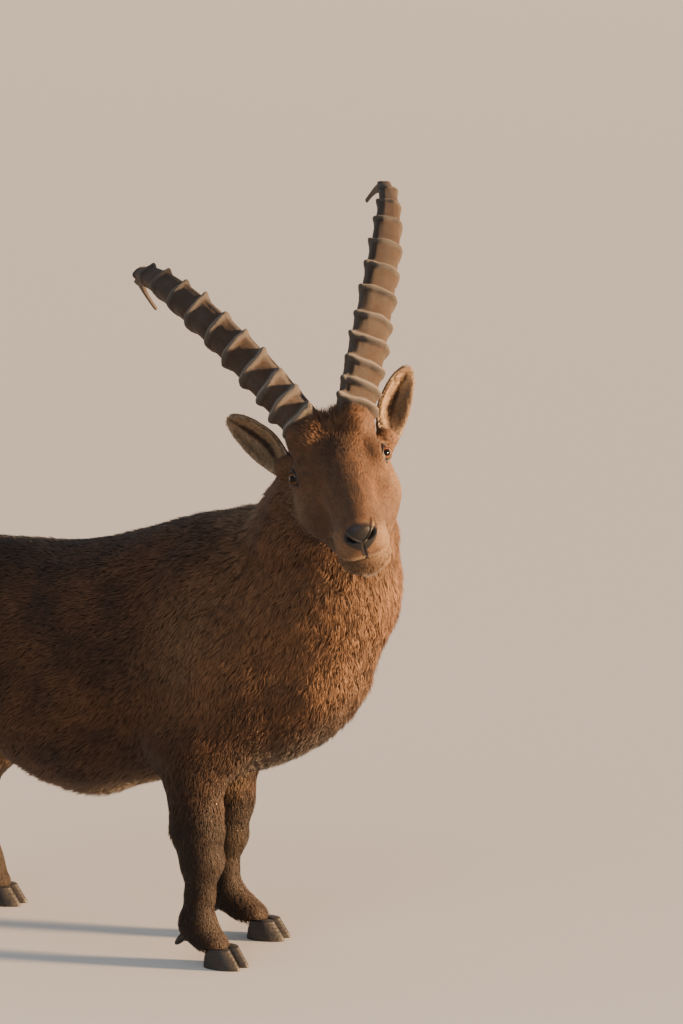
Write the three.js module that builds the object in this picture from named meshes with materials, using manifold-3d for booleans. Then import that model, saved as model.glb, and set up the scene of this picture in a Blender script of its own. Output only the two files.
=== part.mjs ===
// An adult male alpine ibex in its winter coat, life size, standing with its head turned to its right.
// Millimetres. +X is the way the body faces, +Y is its left side and +Z is up.
// The flesh is one smooth field of named masses, parted by thin cuts into torso, neck, head and legs.
// Horns, ears, eyes, tail and claws are forms of their own, let into sockets in the flesh.
import * as THREE from 'three';
import Module from 'manifold-3d';

const wasm = await Module();
wasm.setup();

const GAP = 0.3;
const DEG = Math.PI / 180;
const RIGHT = -1;
const LEFT = 1;
const SIDES = [RIGHT, LEFT];
const sideName = (side) => (side === LEFT ? 'left' : 'right');
const v = (x, y, z) => new THREE.Vector3(x, y, z);

// Driving sizes of the body, with the coat
const WITHERS = v(262, 0, 834);
const BACK = v(20, 0, 771);
const CROUP = v(-270, 0, 757);
const RUMP_END = -432;
const BREAST_END = 640;
const BELLY = v(62, 0, 268);
const ELBOW_BELLY = 318;
const BARREL_HALF_WIDTH = 178;

// The head: its frame has +X to the nose along the nasal bridge, +Y to its left, +Z out of the forehead.
// Its origin lies on the bridge between the eyes.
const HEAD_AT = v(641, -162, 960);
const HEAD_TURN = -51.4;
const HEAD_NOD = 28.8;
const HEAD_TILT = 17.8;
const EYE = { at: v(-4, 77, -19), radius: 15.5, looks: v(0.5, 0.8, 0.33).normalize() };
const LID = 3.4;

// The legs: joints from the elbow or stifle down to the coronet, then the tip of the toe
const HOOF = { length: 74, width: 31, height: 37, spread: 3 };
const LEGS = {
  leg_front_right: {
    side: RIGHT,
    front: true,
    toe: v(424, -116, 0),
    splay: -4,
    joints: [
      [v(314, -110, 400), 80],
      [v(327, -114, 252), 50],
      [v(335, -112, 192), 42],
      [v(331, -112, 135), 29],
      [v(325, -112, 76), 35],
      [v(358, -114, 36), 33],
    ],
  },
  leg_front_left: {
    side: LEFT,
    front: true,
    toe: v(392, 116, 0),
    splay: 5,
    joints: [
      [v(292, 110, 400), 76],
      [v(268, 114, 252), 47],
      [v(268, 112, 192), 39],
      [v(261, 111, 135), 28],
      [v(264, 111, 80), 34],
      [v(318, 114, 38), 33],
    ],
  },
  leg_rear_right: {
    side: RIGHT,
    front: false,
    toe: v(-268, -124, 0),
    splay: -6,
    joints: [
      [v(-212, -112, 430), 92],
      [v(-288, -116, 330), 58],
      [v(-348, -118, 262), 42],
      [v(-352, -118, 160), 30],
      [v(-350, -118, 86), 35],
      [v(-330, -120, 38), 33],
    ],
  },
  leg_rear_left: {
    side: LEFT,
    front: false,
    toe: v(-196, 124, 0),
    splay: 6,
    joints: [
      [v(-196, 112, 430), 92],
      [v(-248, 116, 330), 58],
      [v(-296, 118, 262), 42],
      [v(-288, 118, 160), 30],
      [v(-280, 118, 86), 35],
      [v(-258, 120, 38), 33],
    ],
  },
};

// The horns: each rises back and out from the head and curls back, its two sides a little unlike.
// An angle has three values, in degrees: at the root, its change over a metre and over a square metre.
// Knobs have the place of the first, the step to the next and how much that step grows.
const HORN = { length: 841, width: 72, depth: 89, sunk: 24, sides: 12, tipWidth: 8, taper: [2.6, 1.9] };
const HORN_FRONT = 0.36;
const HORN_TWIST = 16;
const HORN_END_RINGS = 5;
const HORN_PATH = {
  left: {
    root: v(-53.5, 54.7, 47.5),
    rise: [34.9, -73, -36.7],
    spread: [25.3, -3.9, -58.3],
    knobs: [18.9, 32.8, 2.39],
  },
  right: {
    root: v(-53.5, -47, 47.5),
    rise: [42, -96.4, -49],
    spread: [20.4, 32.8, -84.7],
    knobs: [19.9, 34.7, 2.63],
  },
};
const KNOBS = 12;
const KNOB = { height: 12, halfLength: 11 };

// The ears: a leaf-shaped cup on a short stem
const EAR = { root: v(-58, 91, -46), tip: v(-150, 166, 41), opens: v(0.785, 0.36, 0.5), width: 66, wall: 4 };

const TAIL = { root: v(-412, 0, 706), tip: v(-486, 0, 572), width: 62, thickness: 34, bow: 14, core: 0.6 };

// Locks of hair: how deep their roots are sunk, and the share of their width left at the tip and through them
const LOCK_SUNK = 7;
const LOCK_TIP = 0.12;
const LOCK_FLATNESS = 0.34;
const FORELOCK = { front: -6, apart: 17, halfWidth: 17, rows: [3, 4], length: 34, width: 20 };
const CHIN_FRINGE = { at: 165, halfWidth: 17, count: 5, length: 25, width: 20 };
const TAIL_LOCKS = {
  rows: [
    { at: 0.24, from: 35, to: 145, count: 2 },
    { at: 0.5, from: 30, to: 300, count: 4 },
  ],
  length: 76,
  width: 42,
  sunk: 4,
};

// Colours
const finish = (color, roughness) => new THREE.MeshStandardMaterial({ color, roughness, metalness: 0 });
const COAT = finish(0x4a3428, 0.9);
const FACE = finish(0x6b4630, 0.9);
const DARK_COAT = finish(0x2c211c, 0.9);
const HORN_FINISH = finish(0x6a6058, 0.7);
const CLAW_FINISH = finish(0x1d1a19, 0.5);
const EYE_FINISH = finish(0xa06a24, 0.1);

// A closed solid from points and triangles, with its faces turned outwards
function solid(points, triangles) {
  const make = (faces) =>
    new wasm.Manifold(
      new wasm.Mesh({
        numProp: 3,
        vertProperties: new Float32Array(points.flatMap((p) => [p.x, p.y, p.z])),
        triVerts: new Uint32Array(faces.flat()),
      }),
    );
  const made = make(triangles);
  return made.volume() > 0 ? made : make(triangles.map(([a, b, c]) => [a, c, b]));
}

// The solid of a three.js geometry moved by a matrix, its shared corners merged
function fromGeometry(geometry, matrix = new THREE.Matrix4()) {
  const position = geometry.getAttribute('position');
  const index = geometry.index ? Array.from(geometry.index.array) : [...Array(position.count).keys()];
  const points = [];
  const seen = new Map();
  const merged = index.map((i) => {
    const key = [position.getX(i), position.getY(i), position.getZ(i)].map((c) => Math.round(c * 1e4)).join();
    if (!seen.has(key)) {
      seen.set(key, points.length);
      points.push(new THREE.Vector3().fromBufferAttribute(position, i).applyMatrix4(matrix));
    }
    return seen.get(key);
  });
  const triangles = [];
  for (let i = 0; i < merged.length; i += 3) {
    const [a, b, c] = merged.slice(i, i + 3);
    if (a !== b && b !== c && c !== a) triangles.push([a, b, c]);
  }
  return solid(points, triangles);
}

// A solid through closed rings of points, each end closed by a fan round its middle
function loft(rings) {
  const count = rings[0].length;
  const points = rings.flat();
  const triangles = [];
  for (let i = 0; i + 1 < rings.length; i++) {
    for (let j = 0; j < count; j++) {
      const a = i * count + j;
      const b = i * count + ((j + 1) % count);
      triangles.push([a, b, b + count], [a, b + count, a + count]);
    }
  }
  const cap = (start, reversed) => {
    const middle = v(0, 0, 0);
    for (let j = 0; j < count; j++) middle.addScaledVector(points[start + j], 1 / count);
    const top = points.push(middle) - 1;
    for (let j = 0; j < count; j++) {
      const a = start + j;
      const b = start + ((j + 1) % count);
      triangles.push(reversed ? [top, b, a] : [top, a, b]);
    }
  };
  cap(0, true);
  cap((rings.length - 1) * count, false);
  return solid(points, triangles);
}

// An ellipsoid solid with its long axis turned to a direction
function ellipsoid(at, radii, rows = 8, turn = new THREE.Quaternion()) {
  const matrix = new THREE.Matrix4().compose(at, turn, radii);
  return fromGeometry(new THREE.SphereGeometry(1, rows * 2, rows), matrix);
}

// A box solid between two corners, moved by a matrix
function boxBetween(low, high, matrix = new THREE.Matrix4()) {
  const size = high.clone().sub(low);
  const geometry = new THREE.BoxGeometry(size.x, size.y, size.z);
  geometry.translate((low.x + high.x) / 2, (low.y + high.y) / 2, (low.z + high.z) / 2);
  return fromGeometry(geometry, matrix);
}

// The largest closed surface of a solid
function largest(body) {
  return body.decompose().reduce((best, piece) => (piece.volume() > best.volume() ? piece : best));
}

// The field: each mass gives the distance to its surface, negative inside
function roundCone(a, radiusA, b, radiusB, blend) {
  const axis = b.clone().sub(a);
  const length2 = axis.lengthSq();
  const slope = (radiusA - radiusB) / Math.sqrt(length2);
  const tangent = slope / Math.sqrt(Math.max(1 - slope * slope, 1e-6));
  const value = (p) => {
    const px = p.x - a.x;
    const py = p.y - a.y;
    const pz = p.z - a.z;
    const along = (px * axis.x + py * axis.y + pz * axis.z) / length2;
    const away2 = px * px + py * py + pz * pz - along * along * length2;
    const shift = (tangent * Math.sqrt(Math.max(away2, 0))) / Math.sqrt(length2);
    const t = Math.min(Math.max(along + shift, 0), 1);
    const qx = px - axis.x * t;
    const qy = py - axis.y * t;
    const qz = pz - axis.z * t;
    return Math.sqrt(qx * qx + qy * qy + qz * qz) - (radiusA + (radiusB - radiusA) * t);
  };
  return { value, blend };
}

function ball(at, radii, blend, turn = null) {
  const back = turn ? turn.clone().invert() : null;
  const q = v(0, 0, 0);
  const value = (p) => {
    q.copy(p).sub(at);
    if (back) q.applyQuaternion(back);
    const x = q.x / radii.x;
    const y = q.y / radii.y;
    const z = q.z / radii.z;
    const inside = Math.sqrt(x * x + y * y + z * z);
    const steep = Math.sqrt((x / radii.x) ** 2 + (y / radii.y) ** 2 + (z / radii.z) ** 2);
    return steep < 1e-9 ? -Math.min(radii.x, radii.y, radii.z) : (inside * (inside - 1)) / steep;
  };
  return { value, blend };
}

const smoothMin = (a, b, k) => {
  const h = Math.max(k - Math.abs(a - b), 0) / k;
  return Math.min(a, b) - (h * h * k) / 4;
};
const smoothMax = (a, b, k) => -smoothMin(-a, -b, k);

// A smooth curve through points of growing first value
function curveThrough(pairs) {
  return (x) => {
    const last = pairs.length - 1;
    let i = 0;
    while (i < last - 1 && x > pairs[i + 1][0]) i++;
    const [x0, y0] = pairs[i];
    const [x1, y1] = pairs[i + 1];
    const slopeAt = (k) => {
      if (k === 0 || k === last) return (y1 - y0) / (x1 - x0);
      return (pairs[k + 1][1] - pairs[k - 1][1]) / (pairs[k + 1][0] - pairs[k - 1][0]);
    };
    const width = x1 - x0;
    const t = Math.min(Math.max((x - x0) / width, 0), 1);
    const t2 = t * t;
    const t3 = t2 * t;
    const rise = (t3 - 2 * t2 + t) * width * slopeAt(i) + (t3 - t2) * width * slopeAt(i + 1);
    return (2 * t3 - 3 * t2 + 1) * y0 + (3 * t2 - 2 * t3) * y1 + rise;
  };
}

// The trunk: its back line, belly line and half width along x
const backLine = curveThrough([
  [RUMP_END, 690],
  [-350, 738],
  [CROUP.x, CROUP.z],
  [-130, 764],
  [BACK.x, BACK.z],
  [140, 796],
  [WITHERS.x, WITHERS.z],
  [330, 850],
  [400, 862],
  [460, 846],
  [520, 770],
  [580, 680],
  [BREAST_END, 610],
]);
const bellyLine = curveThrough([
  [RUMP_END, 560],
  [-340, 462],
  [-250, 398],
  [-150, 340],
  [-50, 288],
  [BELLY.x, BELLY.z],
  [150, 292],
  [WITHERS.x, ELBOW_BELLY],
  [360, 330],
  [450, 358],
  [520, 402],
  [580, 462],
  [BREAST_END, 540],
]);
const halfWidthLine = curveThrough([
  [RUMP_END, 58],
  [-380, 104],
  [-320, 134],
  [-230, 152],
  [-110, 168],
  [BELLY.x, BARREL_HALF_WIDTH],
  [170, 172],
  [280, 158],
  [400, 156],
  [500, 140],
  [580, 110],
  [BREAST_END, 66],
]);
const TRUNK_WIDEST = 0.44;
const trunk = {
  blend: 40,
  value: (p) => {
    const top = backLine(p.x);
    const bottom = bellyLine(p.x);
    const level = bottom + TRUNK_WIDEST * (top - bottom);
    const half = halfWidthLine(p.x);
    const above = p.z > level;
    const tall = above ? top - level : level - bottom;
    const power = above ? 1.95 : 2.25;
    const across = Math.pow(Math.abs(p.y) / half, power) + Math.pow(Math.abs(p.z - level) / tall, power);
    const ring = (Math.pow(across, 1 / power) - 1) * Math.min(half, tall) * 0.9;
    return smoothMax(smoothMax(ring, RUMP_END - p.x, 120), p.x - BREAST_END, 90);
  },
};

// The neck, from the shoulders up to the head
const NECK = [
  [v(420, 0, 655), 176],
  [v(522, -4, 712), 150],
  [v(554, -28, 824), 116],
  [v(575, -52, 914), 98],
];

const headFrame = new THREE.Matrix4().compose(
  HEAD_AT,
  new THREE.Quaternion().setFromEuler(
    new THREE.Euler(HEAD_TILT * DEG, HEAD_NOD * DEG, HEAD_TURN * DEG, 'ZYX'),
  ),
  v(1, 1, 1),
);
const headTurn = new THREE.Quaternion().setFromRotationMatrix(headFrame);
const inHead = (x, y, z) => v(x, y, z).applyMatrix4(headFrame);
const headBall = (x, y, z, rx, ry, rz, blend) => ball(inHead(x, y, z), v(rx, ry, rz), blend, headTurn);
const headCone = (a, radiusA, b, radiusB, blend) => roundCone(inHead(...a), radiusA, inHead(...b), radiusB, blend);

function headMasses() {
  const masses = [
    headBall(-60, 0, -22, 70, 62, 58, 20),
    headBall(-20, 0, -8, 64, 64, 38, 26),
    headCone([6, 0, -38], 57, [152, 0, -45], 40, 26),
    headCone([16, 0, -24], 38, [170, 0, -22], 22, 26),
    headBall(166, 0, -46, 34, 48, 38, 14),
    headCone([10, 0, -82], 46, [146, 0, -94], 31, 24),
    headBall(157, 0, -105, 28, 40, 25, 10),
    headBall(189, 0, -24, 11, 25, 18, 7),
    headCone([-40, 0, -84], 62, [30, 0, -94], 36, 30),
  ];
  for (const side of SIDES) {
    masses.push(headBall(-3, side * 64, -17, 32, 24, 26, 16));
    masses.push(headCone([-48, side * 26, 0], 34, [-52, side * 44, 24], 36, 26));
    masses.push(headBall(14, side * 54, -70, 74, 41, 50, 30));
    masses.push(headCone([18, side * 48, -86], 40, [136, side * 16, -100], 26, 26));
    masses.push(headBall(170, side * 19, -66, 23, 29, 19, 8));
    masses.push(headCone([-58, side * 56, -42], 28, [-66, side * 88, -38], 21, 16));
  }
  return masses;
}

function legMasses(leg) {
  const masses = [];
  for (let i = 0; i + 1 < leg.joints.length; i++) {
    const [a, radiusA] = leg.joints[i];
    const [b, radiusB] = leg.joints[i + 1];
    masses.push(roundCone(a, radiusA, b, radiusB, i === 0 ? 60 : 16));
  }
  if (leg.front) {
    const shoulder = v(345, leg.side * 96, 560);
    masses.push(ball(shoulder, v(118, 68, 195), 60));
  } else {
    const [stifle] = leg.joints[0];
    const [hock] = leg.joints[2];
    masses.push(ball(v(stifle.x - 84, leg.side * 88, 560), v(132, 74, 165), 60));
    masses.push(roundCone(stifle, 70, hock, 34, 40));
    const heel = v(hock.x - 26, hock.y, hock.z + 26);
    masses.push(roundCone(heel, 21, v(hock.x - 12, hock.y, hock.z - 30), 24, 22));
    masses.push(roundCone(heel, 17, v(stifle.x - 110, hock.y, 380), 30, 26));
  }
  return masses;
}

const bodyMasses = [
  trunk,
  ...NECK.slice(1).map(([b, radiusB], i) => roundCone(NECK[i][0], NECK[i][1], b, radiusB, 60)),
  ...Object.values(LEGS).flatMap(legMasses),
];
const flesh = (masses) => (p) => {
  let nearest = masses[0].value(p);
  for (let i = 1; i < masses.length; i++) {
    nearest = smoothMin(nearest, masses[i].value(p), masses[i].blend);
  }
  return nearest;
};
const bodyField = flesh(bodyMasses);
const headField = flesh([...bodyMasses, ...headMasses()]);

// A closed mesh of the field inside a box: one point in each crossed cell, drawn onto the surface
function fieldSolid(field, low, high, cell) {
  const count = (axis) => Math.ceil((high[axis] - low[axis]) / cell[axis]) + 1;
  const [nx, ny, nz] = ['x', 'y', 'z'].map(count);
  const least = Math.min(cell.x, cell.y, cell.z);
  const at = (i, j, k) => i + nx * (j + ny * k);
  const values = new Float64Array(nx * ny * nz);
  const p = v(0, 0, 0);
  for (let k = 0; k < nz; k++) {
    for (let j = 0; j < ny; j++) {
      for (let i = 0; i < nx; i++) {
        const edge = i === 0 || j === 0 || k === 0 || i === nx - 1 || j === ny - 1 || k === nz - 1;
        p.set(low.x + i * cell.x, low.y + j * cell.y, low.z + k * cell.z);
        values[at(i, j, k)] = edge ? Math.max(field(p), least / 2) : field(p);
      }
    }
  }
  const slopeAt = (q) => {
    const step = least * 0.05;
    const here = v(0, 0, 0);
    for (const axis of ['x', 'y', 'z']) {
      const more = q.clone();
      const less = q.clone();
      more[axis] += step;
      less[axis] -= step;
      here[axis] = (field(more) - field(less)) / (2 * step);
    }
    return here;
  };
  const points = [];
  const pointOf = new Int32Array(values.length).fill(-1);
  for (let k = 0; k + 1 < nz; k++) {
    for (let j = 0; j + 1 < ny; j++) {
      for (let i = 0; i + 1 < nx; i++) {
        const sum = v(0, 0, 0);
        let crossings = 0;
        const cross = (a, b) => {
          const fa = values[at(i + a[0], j + a[1], k + a[2])];
          const fb = values[at(i + b[0], j + b[1], k + b[2])];
          if (fa < 0 === fb < 0) return;
          const t = fa / (fa - fb);
          sum.add(v(a[0] + (b[0] - a[0]) * t, a[1] + (b[1] - a[1]) * t, a[2] + (b[2] - a[2]) * t));
          crossings++;
        };
        for (const m of [0, 1]) {
          for (const n of [0, 1]) {
            cross([0, m, n], [1, m, n]);
            cross([m, 0, n], [m, 1, n]);
            cross([m, n, 0], [m, n, 1]);
          }
        }
        if (crossings === 0) continue;
        sum.divideScalar(crossings);
        const start = v(i, j, k).add(sum).multiply(cell).add(low);
        const point = start.clone();
        const rim = i === 0 || j === 0 || k === 0 || i + 2 === nx || j + 2 === ny || k + 2 === nz;
        for (let round = 0; round < 3 && !rim; round++) {
          const slope = slopeAt(point);
          point.addScaledVector(slope, -field(point) / Math.max(slope.lengthSq(), 0.05));
        }
        const moved = point.clone().sub(start);
        const most = least * 0.45;
        if (moved.length() > most) point.copy(start).addScaledVector(moved, most / moved.length());
        pointOf[at(i, j, k)] = points.push(point) - 1;
      }
    }
  }
  const triangles = [];
  const quad = (a, b, c, d, flip) => {
    const [A, B, C, D] = [a, b, c, d].map((n) => points[n]);
    const across = A.distanceToSquared(C) <= B.distanceToSquared(D);
    const faces = across ? [[a, b, c], [a, c, d]] : [[a, b, d], [b, c, d]];
    for (const face of faces) triangles.push(flip ? [face[0], face[2], face[1]] : face);
  };
  for (let k = 0; k + 1 < nz; k++) {
    for (let j = 0; j + 1 < ny; j++) {
      for (let i = 0; i + 1 < nx; i++) {
        const inside = values[at(i, j, k)] < 0;
        const cellAt = (a, b, c) => pointOf[at(i - a, j - b, k - c)];
        if (j && k && inside !== values[at(i + 1, j, k)] < 0) {
          quad(cellAt(0, 1, 1), cellAt(0, 0, 1), cellAt(0, 0, 0), cellAt(0, 1, 0), !inside);
        }
        if (i && k && inside !== values[at(i, j + 1, k)] < 0) {
          quad(cellAt(1, 0, 1), cellAt(1, 0, 0), cellAt(0, 0, 0), cellAt(0, 0, 1), !inside);
        }
        if (i && j && inside !== values[at(i, j, k + 1)] < 0) {
          quad(cellAt(1, 1, 0), cellAt(0, 1, 0), cellAt(0, 0, 0), cellAt(1, 0, 0), !inside);
        }
      }
    }
  }
  return solid(points, triangles);
}

// Regions that part the flesh. The head's is a wedge in the head's frame; the neck's is all before a slant plane.
const HEAD_BACK = [v(-122, 0, 22), v(-30, 0, -128)];
const HEAD_BOTTOM = -150;
function headRegion(grow) {
  const [poll, throat] = HEAD_BACK;
  const normal = v(poll.z - throat.z, 0, throat.x - poll.x).normalize();
  const shift = normal.clone().multiplyScalar(-grow);
  const outline = new THREE.Shape();
  const span = throat.clone().sub(poll);
  const foot = poll.clone().addScaledVector(span, (HEAD_BOTTOM - grow - poll.z) / span.z).add(shift);
  const crest = poll.clone().addScaledVector(span, (170 - poll.z) / span.z).add(shift);
  outline.moveTo(foot.x, HEAD_BOTTOM - grow);
  outline.lineTo(260, HEAD_BOTTOM - grow);
  outline.lineTo(260, 170);
  outline.lineTo(crest.x, 170);
  outline.closePath();
  const geometry = new THREE.ExtrudeGeometry(outline, { depth: 320, bevelEnabled: false });
  geometry.applyMatrix4(new THREE.Matrix4().makeBasis(v(1, 0, 0), v(0, 0, 1), v(0, -1, 0)));
  geometry.translate(0, 160, 0);
  return fromGeometry(geometry, headFrame);
}

const NECK_CUT = [v(330, 0, 850), v(575, 0, 500)];
function neckRegion(grow) {
  const [top, bottom] = NECK_CUT;
  const down = bottom.clone().sub(top).normalize();
  const forward = v(-down.z, 0, down.x);
  const frame = new THREE.Matrix4().makeBasis(forward, v(0, 1, 0), down.clone().negate());
  frame.setPosition(top);
  const reach = top.distanceTo(bottom);
  return boxBetween(v(-grow, -300, -reach - 200), v(500, 300, 500), frame);
}

const LEG_CUT = { front: { x: [190, 480], top: 372, inner: 46 }, rear: { x: [-470, -120], top: 470, inner: 26 } };
function legRegion(leg, grow) {
  const cut = leg.front ? LEG_CUT.front : LEG_CUT.rear;
  const sides = [leg.side * (cut.inner - grow), leg.side * 300].sort((a, b) => a - b);
  return boxBetween(v(cut.x[0], sides[0], -100), v(cut.x[1], sides[1], cut.top + grow));
}

// One horn, from its root in the head to its tip; grow widens it for its socket
function horn(side, grow = 0) {
  const path = HORN_PATH[sideName(side)];
  const knobAt = [...Array(KNOBS).keys()].map((i) => path.knobs[0] + path.knobs[1] * i + path.knobs[2] * i * i);
  const stops = [-HORN.sunk - grow, -6];
  for (const middle of knobAt) {
    for (const step of [-1, -0.4, 0.35, 1.05]) stops.push(middle + step * KNOB.halfLength);
  }
  const smoothStart = stops[stops.length - 1];
  for (let i = 1; i <= HORN_END_RINGS; i++) {
    stops.push(smoothStart + ((HORN.length - smoothStart) * i) / HORN_END_RINGS);
  }
  const angleAt = ([start, change, more], metres) => (start + (change + more * metres) * metres) * DEG;
  const direction = (s) => {
    const rise = angleAt(path.rise, Math.max(s, 0) / 1000);
    const spread = angleAt(path.spread, Math.max(s, 0) / 1000);
    return {
      along: v(-Math.cos(rise) * Math.cos(spread), side * Math.sin(spread), Math.sin(rise) * Math.cos(spread)),
      front: v(Math.sin(rise), 0, Math.cos(rise)),
    };
  };
  const rings = [];
  const middle = path.root.clone();
  let reached = 0;
  const first = direction(0).along;
  for (const stop of stops) {
    if (stop <= 0) middle.copy(path.root).addScaledVector(first, stop);
    while (stop > 0 && reached < stop) {
      const step = Math.min(4, stop - reached);
      if (reached === 0) middle.copy(path.root);
      middle.addScaledVector(direction(reached + step / 2).along, step);
      reached += step;
    }
    const { along, front: straight } = direction(stop);
    const outward = along.clone().cross(straight).multiplyScalar(side);
    const twist = HORN_TWIST * DEG;
    const front = straight.clone().multiplyScalar(Math.cos(twist)).addScaledVector(outward, Math.sin(twist));
    const across = outward.clone().multiplyScalar(Math.cos(twist)).addScaledVector(straight, -Math.sin(twist));
    const t = Math.max(stop, 0) / HORN.length;
    const taper = Math.pow(1 - Math.pow(t, HORN.taper[0]), HORN.taper[1]);
    const width = HORN.tipWidth + (HORN.width - HORN.tipWidth) * taper;
    const depth = HORN.tipWidth + (HORN.depth - HORN.tipWidth) * taper;
    let knob = 0;
    for (const [i, at] of knobAt.entries()) {
      const size = KNOB.height * (1 - 0.6 * (i / KNOBS) ** 2);
      const near = Math.max(1 - ((stop - at) / KNOB.halfLength) ** 2, 0);
      knob = Math.max(knob, size * near);
    }
    const ring = [];
    for (let j = 0; j < HORN.sides; j++) {
      const angle = (j / HORN.sides) * 2 * Math.PI;
      const c = Math.cos(angle);
      const s = Math.sin(angle);
      const fore = (c > 0 ? 0.42 * Math.pow(c, 0.55) : 0.58 * c) - HORN_FRONT;
      const wide = Math.sign(s) * Math.pow(Math.abs(s), 0.8) * (0.74 + 0.13 * (1 + c));
      const onFront = THREE.MathUtils.smoothstep(c, -0.45, 0.25);
      const lift = 1 + (2 * knob * onFront) / depth;
      const x = (wide * width * lift) / 2 + Math.sign(s) * grow * (Math.abs(s) > 0.1 ? 1 : 0);
      const y = fore * depth + (fore + HORN_FRONT) * depth * (lift - 1) + Math.sign(c) * grow;
      ring.push(middle.clone().addScaledVector(across, x).addScaledVector(front, y));
    }
    rings.push(ring.map((q) => q.applyMatrix4(headFrame)));
  }
  if (grow > 0) return loft(rings.slice(0, 8));
  return loft(rings);
}

// One ear: crescent rings from a solid stem to a rounded tip, open towards the front
function ear(side, grow = 0) {
  const mirrored = (q) => v(q.x, side * q.y, q.z);
  const root = mirrored(EAR.root);
  const along = mirrored(EAR.tip).sub(root);
  const length = along.length();
  along.normalize();
  const opens = mirrored(EAR.opens);
  opens.addScaledVector(along, -opens.dot(along)).normalize();
  const across = along.clone().cross(opens).normalize();
  const stops = [-0.12 - grow / length, 0, 0.12, 0.24, 0.38, 0.52, 0.66, 0.79, 0.9, 1];
  const widthAt = curveThrough([[-0.12, 0.6], [0, 0.6], [0.2, 0.8], [0.45, 1], [0.7, 0.88], [0.88, 0.64], [1, 0.28]]);
  const cupAt = curveThrough([[-0.12, 0], [0.06, 0], [0.2, 0.55], [0.45, 1], [0.8, 0.75], [1, 0.2]]);
  const half = 7;
  const rings = stops.map((t) => {
    const width = EAR.width * widthAt(t);
    const cup = cupAt(t);
    const bend = 8 * Math.sin(Math.PI * Math.max(t, 0));
    const middle = root.clone().addScaledVector(along, t * length).addScaledVector(opens, -bend);
    const outer = [];
    const inner = [];
    for (let j = 0; j < half; j++) {
      const u = (j / (half - 1)) * 2 - 1;
      const arch = Math.sqrt(Math.max(1 - u * u, 0));
      const back = -width * (0.1 + 0.34 * arch);
      const wall = EAR.wall + 2 * arch;
      const front = THREE.MathUtils.lerp(width * 0.34 * arch, back + wall, cup);
      const x = (u * width) / 2;
      outer.push(middle.clone().addScaledVector(across, x + Math.sign(u) * grow).addScaledVector(opens, back - grow));
      const inset = j === 0 || j === half - 1 ? 0 : (x * (width - 2 * EAR.wall)) / width - x;
      inner.push(
        middle.clone().addScaledVector(across, x + inset + Math.sign(u) * grow)
          .addScaledVector(opens, Math.max(front, back + EAR.wall * 0.6) + grow),
      );
    }
    return [...outer, ...inner.reverse()].map((q) => q.applyMatrix4(headFrame));
  });
  return loft(rings);
}

// The opening between the lids, as an upright oval prism out along the way the eye looks
function eyeAxes(side) {
  const at = v(EYE.at.x, side * EYE.at.y, EYE.at.z);
  const looks = v(EYE.looks.x, side * EYE.looks.y, EYE.looks.z);
  const up = v(0, 0, 1).addScaledVector(looks, -looks.z).normalize();
  const across = up.clone().cross(looks);
  return { at, looks, up, across };
}
const EYE_OPENING = v(11.6, 9.2, 0);
function eyeOpening(side) {
  const { at, looks, up, across } = eyeAxes(side);
  const rings = [6, 40].map((out) => {
    const ring = [];
    for (let j = 0; j < 16; j++) {
      const angle = (j / 16) * 2 * Math.PI;
      const flare = 1 + (out - 12) * 0.012;
      ring.push(
        at.clone().addScaledVector(looks, out)
          .addScaledVector(across, Math.cos(angle) * EYE_OPENING.x * flare)
          .addScaledVector(up, Math.sin(angle) * EYE_OPENING.y * flare)
          .applyMatrix4(headFrame),
      );
    }
    return ring;
  });
  return loft(rings);
}
function eyeball(side, grow = 0) {
  const { at } = eyeAxes(side);
  const radius = EYE.radius + grow;
  return ellipsoid(at.applyMatrix4(headFrame), v(radius, radius, radius), 6);
}

// A groove: a thin tube along points on the skin
function groove(points, radius, steps) {
  const section = new THREE.Shape();
  for (let j = 0; j < 6; j++) {
    const angle = (j / 6) * 2 * Math.PI;
    if (j === 0) section.moveTo(radius * Math.cos(angle), radius * Math.sin(angle));
    else section.lineTo(radius * Math.cos(angle), radius * Math.sin(angle));
  }
  section.closePath();
  const extrudePath = new THREE.CatmullRomCurve3(points);
  return fromGeometry(new THREE.ExtrudeGeometry(section, { steps, bevelEnabled: false, extrudePath }));
}

// The place where a ray from inside the head, given in the head's frame, leaves the flesh
function skinFrom(start, direction) {
  const from = start.clone().applyMatrix4(headFrame);
  const way = direction.clone().normalize().applyQuaternion(headTurn);
  let low = 0;
  let high = 160;
  for (let round = 0; round < 24; round++) {
    const middle = (low + high) / 2;
    if (headField(from.clone().addScaledVector(way, middle)) < 0) low = middle;
    else high = middle;
  }
  return from.addScaledVector(way, low);
}

const MOUTH = { back: 84, front: 152, height: -84, radius: 2.4, reach: 1.9 };
function mouthGroove() {
  const points = [];
  for (let i = -12; i <= 12; i++) {
    const turn = (i / 12) * MOUTH.reach;
    const back = THREE.MathUtils.smoothstep(Math.abs(turn), 0.9, MOUTH.reach);
    const start = v(MOUTH.front - back * (MOUTH.front - MOUTH.back), 0, MOUTH.height + 5 * back);
    points.push(skinFrom(start, v(Math.cos(Math.min(Math.abs(turn), 1.5)), Math.sin(turn), 0)));
  }
  return groove(points, MOUTH.radius, 40);
}
function philtrumGroove() {
  const points = [-40, -49, -58, -67, -76].map((z) => skinFrom(v(140, 0, z), v(1, 0, 0)));
  return groove(points, 1.8, 8);
}
function nostril(side) {
  const at = skinFrom(v(155, side * 15, -27), v(1, side * 0.3, 0));
  const turn = headTurn.clone().multiply(
    new THREE.Quaternion().setFromEuler(new THREE.Euler(side * 40 * DEG, 0, side * 25 * DEG)),
  );
  return ellipsoid(at, v(10, 12, 4.2), 6, turn);
}

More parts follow.
